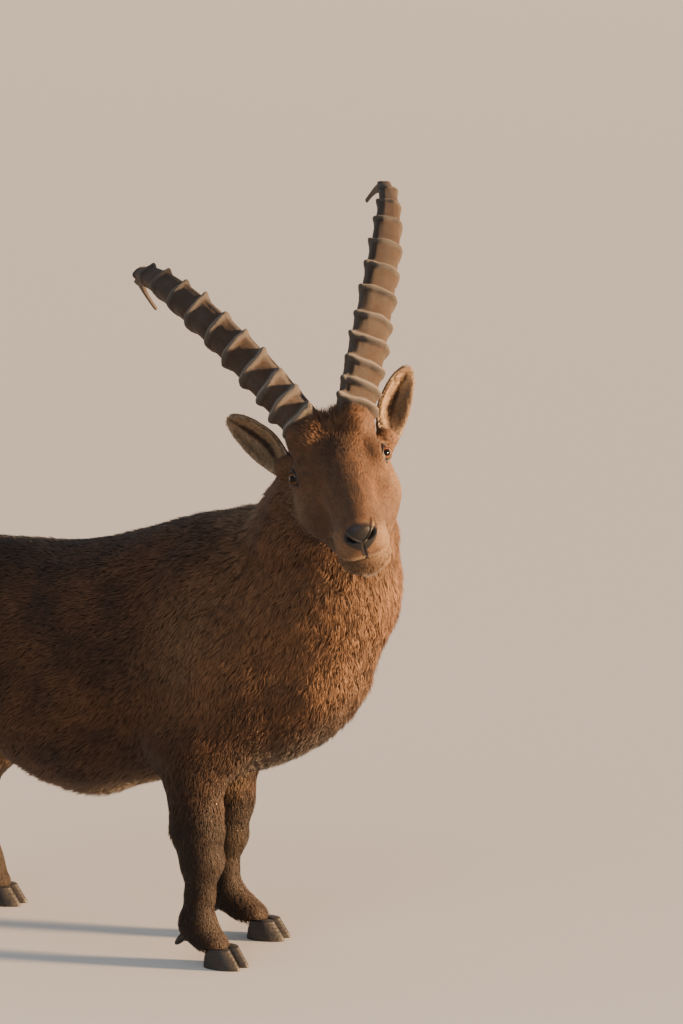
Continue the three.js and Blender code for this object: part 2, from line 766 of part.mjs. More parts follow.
// A lock of hair: flat and tapered, its root sunk in, bending from the way it leaves the skin to the way it lies
const LOCK_SIDES = 4;
function lock(root, leaves, lies, length, width) {
  const flat = leaves.clone().cross(lies).normalize();
  const middle = root.clone().addScaledVector(leaves, -LOCK_SUNK);
  const rings = [];
  const steps = [
    { ahead: 0, size: 0.8 },
    { ahead: LOCK_SUNK, size: 1 },
    { ahead: length * 0.5, size: 0.8 },
    { ahead: length * 0.5, size: LOCK_TIP },
  ];
  for (const [i, { ahead, size }] of steps.entries()) {
    const way = leaves.clone().lerp(lies, i / (steps.length - 1)).normalize();
    middle.addScaledVector(way, ahead);
    const thin = flat.clone().cross(way).normalize();
    const ring = [];
    for (let j = 0; j < LOCK_SIDES; j++) {
      const angle = (j / LOCK_SIDES) * 2 * Math.PI;
      const across = (width / 2) * size * Math.cos(angle);
      const through = (width / 2) * size * LOCK_FLATNESS * Math.sin(angle);
      ring.push(middle.clone().addScaledVector(flat, across).addScaledVector(thin, through));
    }
    rings.push(ring);
  }
  return loft(rings);
}

// The forelock between the horns, in rows that overlap backwards, and the fringe under the chin
function headLocks() {
  const locks = [];
  for (const [row, count] of FORELOCK.rows.entries()) {
    for (let i = 0; i < count; i++) {
      const across = count > 1 ? (i / (count - 1)) * 2 - 1 : 0;
      const start = v(FORELOCK.front - row * FORELOCK.apart, across * FORELOCK.halfWidth, 0);
      const root = skinFrom(start, v(0, 0, 1));
      const leaves = v(-0.5, across * 0.2, 0.8).normalize().applyQuaternion(headTurn);
      const lies = v(-0.9, across * 0.3, 0.34).normalize().applyQuaternion(headTurn);
      locks.push(lock(root, leaves, lies, FORELOCK.length * (1 - 0.12 * Math.abs(across)), FORELOCK.width));
    }
  }
  for (let i = 0; i < CHIN_FRINGE.count; i++) {
    const across = (i / (CHIN_FRINGE.count - 1)) * 2 - 1;
    const start = v(CHIN_FRINGE.at - 10 * across * across, across * CHIN_FRINGE.halfWidth, -100);
    const root = skinFrom(start, v(0.1, across * 0.25, -1));
    const leaves = v(0.1, across * 0.4, -1).normalize().applyQuaternion(headTurn);
    const lies = v(-0.4, across * 0.05, -1).normalize().applyQuaternion(headTurn);
    locks.push(lock(root, leaves, lies, CHIN_FRINGE.length * (1 - 0.25 * Math.abs(across)), CHIN_FRINGE.width));
  }
  return locks;
}

function headNode() {
  const corners = [v(-190, -130, -190), v(235, 130, 120)];
  const low = v(Infinity, Infinity, Infinity);
  const high = v(-Infinity, -Infinity, -Infinity);
  for (const x of [corners[0].x, corners[1].x]) {
    for (const y of [corners[0].y, corners[1].y]) {
      for (const z of [corners[0].z, corners[1].z]) {
        low.min(inHead(x, y, z));
        high.max(inHead(x, y, z));
      }
    }
  }
  let head = fieldSolid(headField, low, high, HEAD_CELL).intersect(headRegion(0));
  for (const each of headLocks()) head = head.add(each);
  for (const side of SIDES) {
    const { at } = eyeAxes(side);
    const lids = EYE.radius + LID;
    head = head.add(ellipsoid(at.clone().applyMatrix4(headFrame), v(lids, lids, lids), 8));
    head = head.subtract(eyeOpening(side)).subtract(eyeball(side, GAP));
    head = head.subtract(horn(side, GAP)).subtract(ear(side, GAP)).subtract(nostril(side));
  }
  return largest(head.subtract(mouthGroove()).subtract(philtrumGroove()));
}

// One claw of a hoof: flat below, steep in front, lower at the heel
function claw(leg, part, grow = 0) {
  const forward = v(Math.cos(leg.splay * DEG), Math.sin(leg.splay * DEG), 0);
  const leftwards = v(-forward.y, forward.x, 0);
  const offset = part * (HOOF.width / 2 + HOOF.spread / 2);
  const rings = [];
  for (const [level, back, front, wide] of [
    [0, -1, 0, 0.98],
    [4, -1.02, 0, 1],
    [HOOF.height * 0.5, -0.98, -0.13, 0.94],
    [HOOF.height, -0.9, -0.3, 0.8],
  ]) {
    const ring = [];
    const middleX = ((back + front) / 2) * HOOF.length;
    const halfX = ((front - back) / 2) * HOOF.length + grow;
    const halfY = (HOOF.width / 2) * wide + grow;
    for (let j = 0; j < 10; j++) {
      const angle = (j / 10) * 2 * Math.PI;
      const c = Math.cos(angle);
      const s = Math.sin(angle);
      const narrow = 1 - 0.42 * Math.max(c, 0) ** 2;
      const x = middleX + halfX * Math.sign(c) * Math.pow(Math.abs(c), 0.8);
      const y = offset + halfY * Math.sign(s) * Math.pow(Math.abs(s), 0.8) * narrow - part * 2 * Math.max(c, 0);
      const z = level === 0 ? -grow : level;
      ring.push(leg.toe.clone().addScaledVector(forward, x).addScaledVector(leftwards, y).setZ(z));
    }
    rings.push(ring);
  }
  if (grow > 0) rings[rings.length - 1].forEach((q) => q.setZ(q.z + grow));
  return loft(rings);
}

// One dewclaw, a small blunt cone behind the pastern
const DEWCLAW = { back: 20, up: 52, apart: 15, length: 26, radius: 9.5 };
function dewclaw(leg, part, grow = 0) {
  const [fetlock] = leg.joints[4];
  const forward = v(Math.cos(leg.splay * DEG), Math.sin(leg.splay * DEG), 0);
  const leftwards = v(-forward.y, forward.x, 0);
  const at = fetlock.clone().addScaledVector(forward, -DEWCLAW.back).addScaledVector(leftwards, part * DEWCLAW.apart);
  at.setZ(DEWCLAW.up);
  const out = forward.clone().multiplyScalar(-0.72).addScaledVector(v(0, 0, -1), 0.7).normalize();
  const across = leftwards.clone();
  const third = across.clone().cross(out);
  const rings = [[-0.35, 0.8], [0, 1], [0.5, 0.88], [1, 0.3]].map(([t, size]) => {
    const ring = [];
    for (let j = 0; j < 6; j++) {
      const angle = (j / 6) * 2 * Math.PI;
      const radius = DEWCLAW.radius * size + grow;
      ring.push(
        at.clone().addScaledVector(out, t * DEWCLAW.length + (t > 0.9 ? grow : 0) - (t < 0 ? grow : 0))
          .addScaledVector(across, Math.cos(angle) * radius)
          .addScaledVector(third, Math.sin(angle) * radius * 0.8),
      );
    }
    return ring;
  });
  return loft(rings);
}

// The tail, hanging behind the rump: a flat core, and rows of locks over its back and round its end
function tail(grow = 0) {
  const along = TAIL.tip.clone().sub(TAIL.root);
  const length = along.length();
  along.normalize();
  const out = v(along.z, 0, -along.x);
  const across = v(0, 1, 0);
  const sizeAt = curveThrough([[-0.2, 0.6], [0, 0.7], [0.25, 0.86], [0.45, 0.78], [TAIL.core, 0.45]]);
  const middleAt = (t) => {
    const bow = TAIL.bow * Math.sin(Math.PI * Math.max(t, 0));
    return TAIL.root.clone().addScaledVector(along, t * length).addScaledVector(out, bow);
  };
  const placeAt = (t, angle, more) => middleAt(t)
    .addScaledVector(across, Math.cos(angle) * ((TAIL.width / 2) * sizeAt(t) + more))
    .addScaledVector(out, Math.sin(angle) * ((TAIL.thickness / 2) * sizeAt(t) + more));
  const rings = [-0.2 - grow / length, 0, 0.2, 0.4, TAIL.core].map((t) => {
    const angles = [...Array(8).keys()].map((j) => (j / 8) * 2 * Math.PI);
    return angles.map((angle) => placeAt(t, angle, grow));
  });
  let made = loft(rings);
  if (grow > 0) return made;
  for (const { at, from, to, count } of TAIL_LOCKS.rows) {
    for (let i = 0; i < count; i++) {
      const angle = (from + ((to - from) * i) / (count - 1)) * DEG;
      const outwards = across.clone().multiplyScalar(Math.cos(angle)).addScaledVector(out, Math.sin(angle));
      const leaves = outwards.clone().multiplyScalar(0.4).add(along).normalize();
      const lies = outwards.clone().multiplyScalar(-0.1).add(along).normalize();
      const size = TAIL_LOCKS.length * (1 - 0.1 * Math.abs(Math.cos(angle)));
      made = made.add(lock(placeAt(at, angle, -TAIL_LOCKS.sunk), leaves, lies, size, TAIL_LOCKS.width));
    }
  }
  return largest(made);
}

// Grid sizes of the flesh
const TORSO_CELL = v(54, 37, 38);
const NECK_CELL = v(36, 36, 36);
const LEG_CELL = v(21, 21, 36);
const HEAD_CELL = v(16, 16, 16);

const SOLE_CLEAR = 5;

function torsoNode() {
  let torso = fieldSolid(bodyField, v(-520, -260, 200), v(720, 260, 930), TORSO_CELL);
  torso = torso.subtract(neckRegion(GAP)).subtract(headRegion(GAP)).subtract(tail(GAP));
  for (const leg of Object.values(LEGS)) torso = torso.subtract(legRegion(leg, GAP));
  return largest(torso);
}

function neckNode() {
  const neck = fieldSolid(headField, v(250, -300, 380), v(850, 260, 1130), NECK_CELL);
  let cut = neck.intersect(neckRegion(0)).subtract(headRegion(GAP));
  for (const side of SIDES) cut = cut.subtract(ear(side, GAP)).subtract(horn(side, GAP));
  return largest(cut);
}

function legNode(leg) {
  const cut = leg.front ? LEG_CUT.front : LEG_CUT.rear;
  const low = v(cut.x[0] - 40, leg.side * 130 - 150, -60);
  const high = v(cut.x[1] + 40, leg.side * 130 + 150, cut.top + 40);
  let made = fieldSolid(bodyField, low, high, LEG_CELL).intersect(legRegion(leg, 0));
  made = made.intersect(boxBetween(v(-600, -400, SOLE_CLEAR), v(800, 400, 900)));
  for (const part of SIDES) made = made.subtract(claw(leg, part, GAP)).subtract(dewclaw(leg, part, GAP));
  return largest(made);
}

// The faces of a body with its coincident corners joined, and with each edge closed up to one point
// where it is shorter than the least length or where more than two faces meet along it
const LEAST_EDGE = 0.05;
function cleanFaces(places, corners) {
  const place = (i) => v(places[3 * i], places[3 * i + 1], places[3 * i + 2]);
  const first = new Map();
  const joined = Array.from(corners, (corner) => {
    const key = place(corner).toArray().map((c) => Math.round(c * 1e4)).join();
    if (!first.has(key)) first.set(key, corner);
    return first.get(key);
  });
  const facesAt = new Map();
  const faces = [];
  for (let i = 0; i < joined.length; i += 3) {
    const face = joined.slice(i, i + 3);
    if (new Set(face).size < 3) continue;
    for (const corner of face) {
      if (!facesAt.has(corner)) facesAt.set(corner, new Set());
      facesAt.get(corner).add(faces.length);
    }
    faces.push(face);
  }
  const around = (corner) => new Set([...facesAt.get(corner)].flatMap((f) => faces[f]).filter((c) => c !== corner));
  for (const start of faces) {
    for (let k = 0; k < 3; k++) {
      const kept = start[k];
      const gone = start[(k + 1) % 3];
      if (kept === gone) continue;
      const both = [...facesAt.get(gone)].filter((f) => facesAt.get(kept).has(f));
      if (both.length === 2 && place(kept).distanceTo(place(gone)) >= LEAST_EDGE) continue;
      const beside = around(gone);
      if ([...around(kept)].filter((c) => beside.has(c)).length !== both.length) continue;
      for (const f of both) {
        for (const corner of faces[f]) facesAt.get(corner).delete(f);
        faces[f].fill(kept);
      }
      for (const f of facesAt.get(gone)) {
        faces[f][faces[f].indexOf(gone)] = kept;
        facesAt.get(kept).add(f);
      }
      facesAt.get(gone).clear();
    }
  }
  return faces.filter((face) => new Set(face).size === 3).flat();
}

// The animal, moved so that the middle of its ground plan is the origin
const ibex = new THREE.Group();
function put(name, body, material) {
  const mesh = body.getMesh();
  const geometry = new THREE.BufferGeometry();
  geometry.setAttribute('position', new THREE.BufferAttribute(new Float32Array(mesh.vertProperties), 3));
  geometry.setIndex(cleanFaces(mesh.vertProperties, mesh.triVerts));
  const placed = new THREE.Mesh(geometry, material);
  placed.name = name;
  ibex.add(placed);
}

put('torso', torsoNode(), COAT);
put('neck', neckNode(), COAT);
put('head', headNode(), FACE);
put('tail', tail(), DARK_COAT);
for (const side of SIDES) {
  put(`horn_${sideName(side)}`, horn(side), HORN_FINISH);
  put(`ear_${sideName(side)}`, ear(side), FACE);
  put(`eye_${sideName(side)}`, eyeball(side), EYE_FINISH);
}
for (const [name, leg] of Object.entries(LEGS)) {
  put(name, legNode(leg), DARK_COAT);
  const place = name.replace('leg_', '');
  for (const part of SIDES) {
    const inner = part === leg.side ? 'outer' : 'inner';
    put(`claw_${place}_${inner}`, claw(leg, part), CLAW_FINISH);
    put(`dewclaw_${place}_${inner}`, dewclaw(leg, part), CLAW_FINISH);
  }
}

const whole = new THREE.Box3().setFromObject(ibex);
for (const mesh of ibex.children) {
  mesh.geometry.translate(-(whole.min.x + whole.max.x) / 2, -(whole.min.y + whole.max.y) / 2, -whole.min.z);
}

export default ibex;
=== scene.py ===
import math

import bmesh
import bpy
import numpy as np
import openvdb
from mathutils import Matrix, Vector
from mathutils.kdtree import KDTree


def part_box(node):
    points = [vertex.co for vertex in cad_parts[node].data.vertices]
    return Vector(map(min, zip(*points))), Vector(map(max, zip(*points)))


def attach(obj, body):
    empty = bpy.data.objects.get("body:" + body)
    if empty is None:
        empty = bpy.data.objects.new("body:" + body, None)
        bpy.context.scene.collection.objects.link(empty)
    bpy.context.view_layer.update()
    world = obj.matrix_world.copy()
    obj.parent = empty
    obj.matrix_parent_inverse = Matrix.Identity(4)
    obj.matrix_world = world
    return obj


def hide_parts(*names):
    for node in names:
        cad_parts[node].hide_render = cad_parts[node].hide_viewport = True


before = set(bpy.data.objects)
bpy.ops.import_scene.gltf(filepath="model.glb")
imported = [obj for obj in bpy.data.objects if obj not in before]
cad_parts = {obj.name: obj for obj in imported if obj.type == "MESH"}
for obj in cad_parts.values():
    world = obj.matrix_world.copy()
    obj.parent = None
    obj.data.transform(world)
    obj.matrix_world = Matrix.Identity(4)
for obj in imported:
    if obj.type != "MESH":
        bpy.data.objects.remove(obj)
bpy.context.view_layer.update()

MM = 0.001
LEFT = 1
RIGHT = -1
SIDES = (RIGHT, LEFT)
SIDE_NAME = {RIGHT: "right", LEFT: "left"}
random = np.random.default_rng(7)


def point(*xyz):
    return np.array(xyz, dtype=np.float64)


def unit(vector):
    vector = np.asarray(vector, dtype=np.float64)
    return vector / np.linalg.norm(vector, axis=-1, keepdims=True).clip(1e-9)


def smoothstep(low, high, value):
    t = np.clip((value - low) / (high - low), 0, 1)
    return t * t * (3 - 2 * t)


def bell(value, middle, half):
    """A smooth rise to 1 at a middle value."""
    return np.exp(-(((value - middle) / half) ** 2))


def full_turn(count):
    return np.linspace(0, 2 * math.pi, count, endpoint=False)


def squarer(value, power):
    """A sine or cosine with its sign kept, so that a ring becomes squarer."""
    return np.sign(value) * np.abs(value) ** power


def turned(x=0.0, y=0.0, z=0.0):
    """The turn about X, then Y, then Z, in degrees, as a matrix whose columns are the turned axes."""
    sx, cx = math.sin(math.radians(x)), math.cos(math.radians(x))
    sy, cy = math.sin(math.radians(y)), math.cos(math.radians(y))
    sz, cz = math.sin(math.radians(z)), math.cos(math.radians(z))
    about_x = np.array([[1, 0, 0], [0, cx, -sx], [0, sx, cx]])
    about_y = np.array([[cy, 0, sy], [0, 1, 0], [-sy, 0, cy]])
    about_z = np.array([[cz, -sz, 0], [sz, cz, 0], [0, 0, 1]])
    return about_z @ about_y @ about_x


# Driving sizes of the body, with the coat
WITHERS = point(262, 0, 834)
BACK = point(20, 0, 771)
CROUP = point(-270, 0, 757)
RUMP_END = -432
BREAST_END = 640
BELLY = point(62, 0, 268)
ELBOW_BELLY = 318
BARREL_HALF_WIDTH = 178

# The head: +X to the nose along the nasal bridge, +Y to its left, +Z out of the forehead
HEAD_AT = point(641, -162, 960)
HEAD_AXES = turned(x=17.8, y=28.8, z=-51.4)
EYE_AT = point(-4, 77, -19)
EYE_RADIUS = 15.5
EYE_LOOKS = unit(point(0.6, 0.66, 0.45))

# The legs and hooves
HOOF_LENGTH = 74
HOOF_WIDTH = 31
HOOF_HEIGHT = 37
HOOF_SPREAD = 3
CORONET = 31


def leg_from(side, toe, splay, joints):
    """A leg from its toe's place, the toe's turn in degrees, and its joints as places with radii.

    The joints run from the elbow or stifle down to the coronet.
    """
    splay = math.radians(splay)
    return {
        "side": side,
        "front": toe[0] > 0,
        "toe": point(*toe, 0),
        "forward": point(math.cos(splay), math.sin(splay), 0),
        "leftwards": point(-math.sin(splay), math.cos(splay), 0),
        "joints": [(point(*place), radius) for *place, radius in joints],
    }


LEGS = {
    "front_right": leg_from(
        RIGHT,
        (424, -116),
        -4,
        [(314, -110, 400, 80), (327, -114, 252, 50), (335, -112, 192, 42)]
        + [(331, -112, 135, 29), (325, -112, 76, 35), (358, -114, 36, 33)],
    ),
    "front_left": leg_from(
        LEFT,
        (392, 116),
        5,
        [(292, 110, 400, 76), (268, 114, 252, 47), (268, 112, 192, 39)]
        + [(261, 111, 135, 28), (264, 111, 80, 34), (318, 114, 38, 33)],
    ),
    "rear_right": leg_from(
        RIGHT,
        (-268, -124),
        -6,
        [(-212, -112, 430, 92), (-288, -116, 330, 58), (-348, -118, 262, 42)]
        + [(-352, -118, 160, 30), (-350, -118, 86, 35), (-330, -120, 38, 33)],
    ),
    "rear_left": leg_from(
        LEFT,
        (-196, 124),
        6,
        [(-196, 112, 430, 92), (-248, 116, 330, 58), (-296, 118, 262, 42)]
        + [(-288, 118, 160, 30), (-280, 118, 86, 35), (-258, 120, 38, 33)],
    ),
}

# The horns: angles in degrees at the root, and their change over a metre and over a square metre
HORN_LENGTH = 841
HORN_WIDTH = 72
HORN_DEPTH = 89
HORN_TIP_WIDTH = 8
HORN_TAPER = (2.6, 1.9)
HORN_SUNK = 24
HORN_FRONT = 0.36
HORN_TWIST = math.radians(16)
HORN_PATH = {
    LEFT: {
        "root": point(-53.5, 54.7, 47.5),
        "rise": (34.9, -73, -36.7),
        "spread": (25.3, -3.9, -58.3),
        "knobs": (18.9, 32.8, 2.39),
    },
    RIGHT: {
        "root": point(-53.5, -47, 47.5),
        "rise": (42, -96.4, -49),
        "spread": (20.4, 32.8, -84.7),
        "knobs": (19.9, 34.7, 2.63),
    },
}
KNOBS = 12
RIDGE_HEIGHT = 9.5
RIDGE_HALF = 7.5

# The ears: a leaf-shaped cup on a short stem
EAR_ROOT = point(-58, 91, -46)
EAR_TIP = point(-150, 166, 41)
EAR_OPENS = point(0.785, 0.36, 0.5)
EAR_WIDTH = 66
EAR_WALL = 4
EAR_SUNK = -0.32
EAR_HAIR_FROM = -0.14

TAIL_ROOT = point(-412, 0, 706)
TAIL_TIP = point(-486, 0, 572)
TAIL_END = point(-472, 0, 602)


def from_head(points):
    """Points given in the head's frame, in the animal's frame."""
    return np.asarray(points) @ HEAD_AXES.T + HEAD_AT


def to_head(points):
    return (np.asarray(points) - HEAD_AT) @ HEAD_AXES


# The left eyeball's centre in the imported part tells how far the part's origin lies from the animal's
eye_low, eye_high = (np.array(corner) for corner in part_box("eye_left"))
ORIGIN = from_head(EYE_AT) - (eye_low + eye_high) / 2 / MM


def placed(points):
    """Points of the animal's frame, in the part's frame and in metres."""
    return (np.asarray(points) - ORIGIN) * MM


def mirrored(xyz, side):
    """A place or way on the left side, as it is on the given side."""
    return np.asarray(xyz) * point(1, side, 1)


# Meshes


def linked(thing):
    bpy.context.scene.collection.objects.link(thing)
    return thing


def set_corners(mesh, points):
    """Gives a mesh its corners from points in the animal's frame."""
    mesh.vertices.foreach_set("co", placed(points).astype(np.float32).ravel())


def rows_of(items, key, kind=np.float32):
    """Three numbers for each item of a mesh, as rows."""
    rows = np.empty(len(items) * 3, dtype=kind)
    items.foreach_get(key, rows)
    return rows.reshape(-1, 3)


def new_mesh(name, points, faces):
    """A piece from points in the animal's frame and faces of equal length."""
    faces = np.asarray(faces, dtype=np.int32)
    mesh = bpy.data.meshes.new(name)
    mesh.vertices.add(len(points))
    set_corners(mesh, points)
    sides = faces.shape[1]
    mesh.loops.add(faces.size)
    mesh.loops.foreach_set("vertex_index", faces.ravel())
    mesh.polygons.add(len(faces))
    mesh.polygons.foreach_set("loop_start", np.arange(0, faces.size, sides, dtype=np.int32))
    mesh.polygons.foreach_set("use_smooth", np.ones(len(faces), dtype=bool))
    mesh.update(calc_edges=True)
    return linked(bpy.data.objects.new(name, mesh))


def set_attribute(piece, name, values):
    """A vector for each vertex, which the materials read by its name."""
    layer = piece.data.attributes.new(name, "FLOAT_VECTOR", "POINT")
    layer.data.foreach_set("vector", np.asarray(values, dtype=np.float32).ravel())


def dress(piece, material, replaced=()):
    """Gives a piece its material, its body and the nodes that it replaces."""
    piece.data.materials.append(material)
    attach(piece, "root")
    if replaced:
        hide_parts(*replaced)


def loft_faces(rings, count):
    """Quads between closed rings of points, as index rows."""
    ring, turn = np.meshgrid(np.arange(rings - 1), np.arange(count), indexing="ij")
    a = ring * count + turn
    b = ring * count + (turn + 1) % count
    return np.stack([a, b, b + count, a + count], axis=-1).reshape(-1, 4)


def lofted(name, rings):
    """A closed piece through rings of points, each end drawn to a point at its middle."""
    rings = [np.asarray(ring) for ring in rings]
    count = len(rings[0])
    first = np.repeat(rings[0].mean(0)[None], count, 0)
    last = np.repeat(rings[-1].mean(0)[None], count, 0)
    points = np.concatenate([first, *rings, last])
    piece = new_mesh(name, points, loft_faces(len(rings) + 2, count))
    work = bmesh.new()
    work.from_mesh(piece.data)
    bmesh.ops.remove_doubles(work, verts=work.verts, dist=1e-6)
    bmesh.ops.recalc_face_normals(work, faces=work.faces)
    work.to_mesh(piece.data)
    work.free()
    return piece


def with_ends(rows):
    """The values of a loft's rings, with those of its two end points."""
    return np.concatenate([rows[0][:1], np.concatenate(rows), rows[-1][:1]])


# The flesh, as the distance to its surface, negative inside


def curve_through(pairs):
    """A smooth curve through points of growing first value."""
    xs = np.array([pair[0] for pair in pairs], dtype=np.float64)
    ys = np.array([pair[1] for pair in pairs], dtype=np.float64)
    slopes = np.empty_like(ys)
    slopes[1:-1] = (ys[2:] - ys[:-2]) / (xs[2:] - xs[:-2])
    slopes[0] = (ys[1] - ys[0]) / (xs[1] - xs[0])
    slopes[-1] = (ys[-1] - ys[-2]) / (xs[-1] - xs[-2])

    def curve(x):
        i = np.clip(np.searchsorted(xs, x, side="left") - 1, 0, len(xs) - 2)
        width = xs[i + 1] - xs[i]
        t = np.clip((x - xs[i]) / width, 0, 1)
        t2, t3 = t * t, t * t * t
        rise = (t3 - 2 * t2 + t) * width * slopes[i] + (t3 - t2) * width * slopes[i + 1]
        return (2 * t3 - 3 * t2 + 1) * ys[i] + (3 * t2 - 2 * t3) * ys[i + 1] + rise

    return curve


def round_cone(a, radius_a, b, radius_b):
    """The distance to a cone whose two ends are balls."""
    axis = b - a
    length2 = float(axis @ axis)
    slope = (radius_a - radius_b) / math.sqrt(length2)
    tangent = slope / math.sqrt(max(1 - slope * slope, 1e-6))

    def distance(points):
        rel = points - a.astype(points.dtype)
        along = rel @ axis.astype(points.dtype) / length2
        away2 = (rel * rel).sum(-1) - along * along * length2
        t = np.clip(along + tangent * np.sqrt(np.maximum(away2, 0)) / math.sqrt(length2), 0, 1)
        off = rel - t[..., None] * axis.astype(points.dtype)
        return np.sqrt((off * off).sum(-1)) - (radius_a + (radius_b - radius_a) * t)

    return distance


def ball(at, radii, axes=None):
    """About the distance to a ball with three radii, along the given axes."""

    def distance(points):
        rel = points - at.astype(points.dtype)
        if axes is not None:
            rel = rel @ axes.astype(points.dtype)
        scaled = rel / radii.astype(points.dtype)
        inside = np.sqrt((scaled * scaled).sum(-1))
        steep = np.sqrt(((scaled / radii.astype(points.dtype)) ** 2).sum(-1)).clip(1e-6)
        return inside * (inside - 1) / steep

    return distance


def smooth_min(a, b, blend):
    """The lesser of two values, rounded off where they are nearly equal."""
    h = np.maximum(blend - np.abs(a - b), 0) / blend
    return np.minimum(a, b) - h * h * blend / 4


def smooth_max(a, b, blend):
    return -smooth_min(-a, -b, blend)


back_line = curve_through(
    [(RUMP_END, 690), (-350, 738), (CROUP[0], CROUP[2]), (-130, 764), (BACK[0], BACK[2]), (140, 796)]
    + [(WITHERS[0], WITHERS[2]), (330, 850), (400, 862), (460, 846), (520, 770), (580, 680)]
    + [(BREAST_END, 610)]
)
belly_line = curve_through(
    [(RUMP_END, 560), (-340, 462), (-250, 398), (-150, 340), (-50, 288), (BELLY[0], BELLY[2]), (150, 292)]
    + [(WITHERS[0], ELBOW_BELLY), (360, 330), (450, 358), (520, 402), (580, 462), (BREAST_END, 540)]
)
half_width_line = curve_through(
    [(RUMP_END, 58), (-380, 104), (-320, 134), (-230, 152), (-110, 168), (BELLY[0], BARREL_HALF_WIDTH)]
    + [(170, 172), (280, 158), (400, 156), (500, 140), (580, 110), (BREAST_END, 66)]
)
TRUNK_WIDEST = 0.44


def trunk(points):
    """About the distance to the trunk, whose rings are wide below and narrow above."""
    x, y, z = points[..., 0], points[..., 1], points[..., 2]
    top = back_line(x)
    bottom = belly_line(x)
    level = bottom + TRUNK_WIDEST * (top - bottom)
    half = half_width_line(x)
    above = z > level
    tall = np.where(above, top - level, level - bottom)
    power = np.where(above, 1.95, 2.25)
    across = (np.abs(y) / half) ** power + (np.abs(z - level) / tall) ** power
    ring = (across ** (1 / power) - 1) * np.minimum(half, tall) * 0.9
    return smooth_max(smooth_max(ring, RUMP_END - x, 120), x - BREAST_END, 90).astype(points.dtype)


# The neck's places and radii, from the breast to the throat
NECK = [
    (point(420, 0, 655), 176),
    (point(522, -4, 712), 150),
    (point(554, -28, 824), 116),
    (point(575, -52, 914), 98),
]


def head_ball(at, radii):
    return ball(from_head(at), point(*radii), HEAD_AXES)


def head_cone(a, radius_a, b, radius_b):
    return round_cone(from_head(a), radius_a, from_head(b), radius_b)


def head_masses():
    """The skull, nose, jaw and lips, then brow, horn root, cheek, jaw, nostril and ear root on both sides."""
    masses = [
        (head_ball((-60, 0, -22), (70, 62, 58)), 20),
        (head_ball((-20, 0, -8), (64, 64, 38)), 26),
        (head_cone((6, 0, -38), 57, (152, 0, -45), 40), 26),
        (head_cone((16, 0, -24), 38, (170, 0, -22), 22), 26),
        (head_ball((166, 0, -46), (34, 48, 38)), 14),
        (head_cone((10, 0, -82), 46, (146, 0, -94), 31), 24),
        (head_ball((157, 0, -105), (28, 40, 25)), 10),
        (head_ball((189, 0, -24), (11, 25, 18)), 7),
        (head_cone((-40, 0, -84), 62, (30, 0, -94), 36), 30),
    ]
    for side in SIDES:
        masses.append((head_ball((-3, side * 64, -17), (32, 24, 26)), 16))
        masses.append((head_cone((-48, side * 26, 0), 34, (-52, side * 44, 24), 36), 26))
        masses.append((head_ball((14, side * 52, -70), (74, 37, 50)), 30))
        masses.append((head_cone((18, side * 48, -86), 40, (136, side * 16, -100), 26), 26))
        masses.append((head_ball((170, side * 19, -66), (23, 29, 19)), 8))
        masses.append((head_cone((-58, side * 56, -42), 28, (-66, side * 88, -38), 21), 16))
    return masses


def leg_masses(leg):
    """A leg's cones, with its shoulder, or with its thigh and the tendon over the hock."""
    masses = []
    joints = leg["joints"]
    for i, ((a, radius_a), (b, radius_b)) in enumerate(zip(joints, joints[1:])):
        masses.append((round_cone(a, radius_a, b, radius_b), 60 if i == 0 else 16))
    side = leg["side"]
    if leg["front"]:
        masses.append((ball(point(345, side * 96, 560), point(118, 68, 195)), 60))
        return masses
    stifle, hock = joints[0][0], joints[2][0]
    masses.append((ball(point(stifle[0] - 84, side * 88, 560), point(132, 74, 165)), 60))
    masses.append((round_cone(stifle, 70, hock, 34), 40))
    heel = hock + point(-26, 0, 26)
    masses.append((round_cone(heel, 21, hock + point(-12, 0, -30), 24), 22))
    masses.append((round_cone(heel, 17, point(stifle[0] - 110, hock[1], 380), 30), 26))
    return masses


neck_masses = [(round_cone(a, ra, b, rb), 60) for (a, ra), (b, rb) in zip(NECK, NECK[1:])]
all_leg_masses = [mass for leg in LEGS.values() for mass in leg_masses(leg)]
tail_flesh = round_cone(TAIL_ROOT, 24, TAIL_END, 10)
tail_stem = round_cone(TAIL_ROOT + point(46, 0, 0), 40, TAIL_ROOT + point(6, 0, 0), 27)
BLENDED_MASSES = [*neck_masses, *all_leg_masses, *head_masses(), (tail_stem, 24), (tail_flesh, 20)]


def flesh(points):
    """The distance to the coat's surface, where the masses blend into one."""
    nearest = trunk(points)
    for distance, blend in BLENDED_MASSES:
        nearest = smooth_min(nearest, distance(points), blend)
    return nearest


def face_share(points):
    """How far a point belongs to the face and skull, from 0 on the neck to 1."""
    head = to_head(points)
    back = head[..., 0] + 0.35 * np.minimum(head[..., 2] + 30, 0)
    share = smoothstep(-128, -62, back) * smoothstep(-200, -142, head[..., 2])
    return share * smoothstep(330, 270, np.sqrt((head * head).sum(-1)))


def leg_share(points):
    """How far a point belongs to the short-haired lower legs."""
    nearest = np.full(points.shape[:-1], np.inf)
    for leg in LEGS.values():
        for (a, ra), (b, rb) in zip(leg["joints"][1:], leg["joints"][2:]):
            nearest = np.minimum(nearest, round_cone(a, ra, b, rb)(points))
    return smoothstep(34, 4, nearest) * smoothstep(360, 240, points[..., 2])


def tail_share(points):
    """How far a point belongs to the tail, from 0 on the rump to 1."""
    return smoothstep(22, 4, tail_flesh(points)) * smoothstep(-380, -416, points[..., 0])


COAT_DEPTH = {"body": 13.0, "neck": 17.0, "face": 1.8, "leg": 4.5, "tail": 3.0}


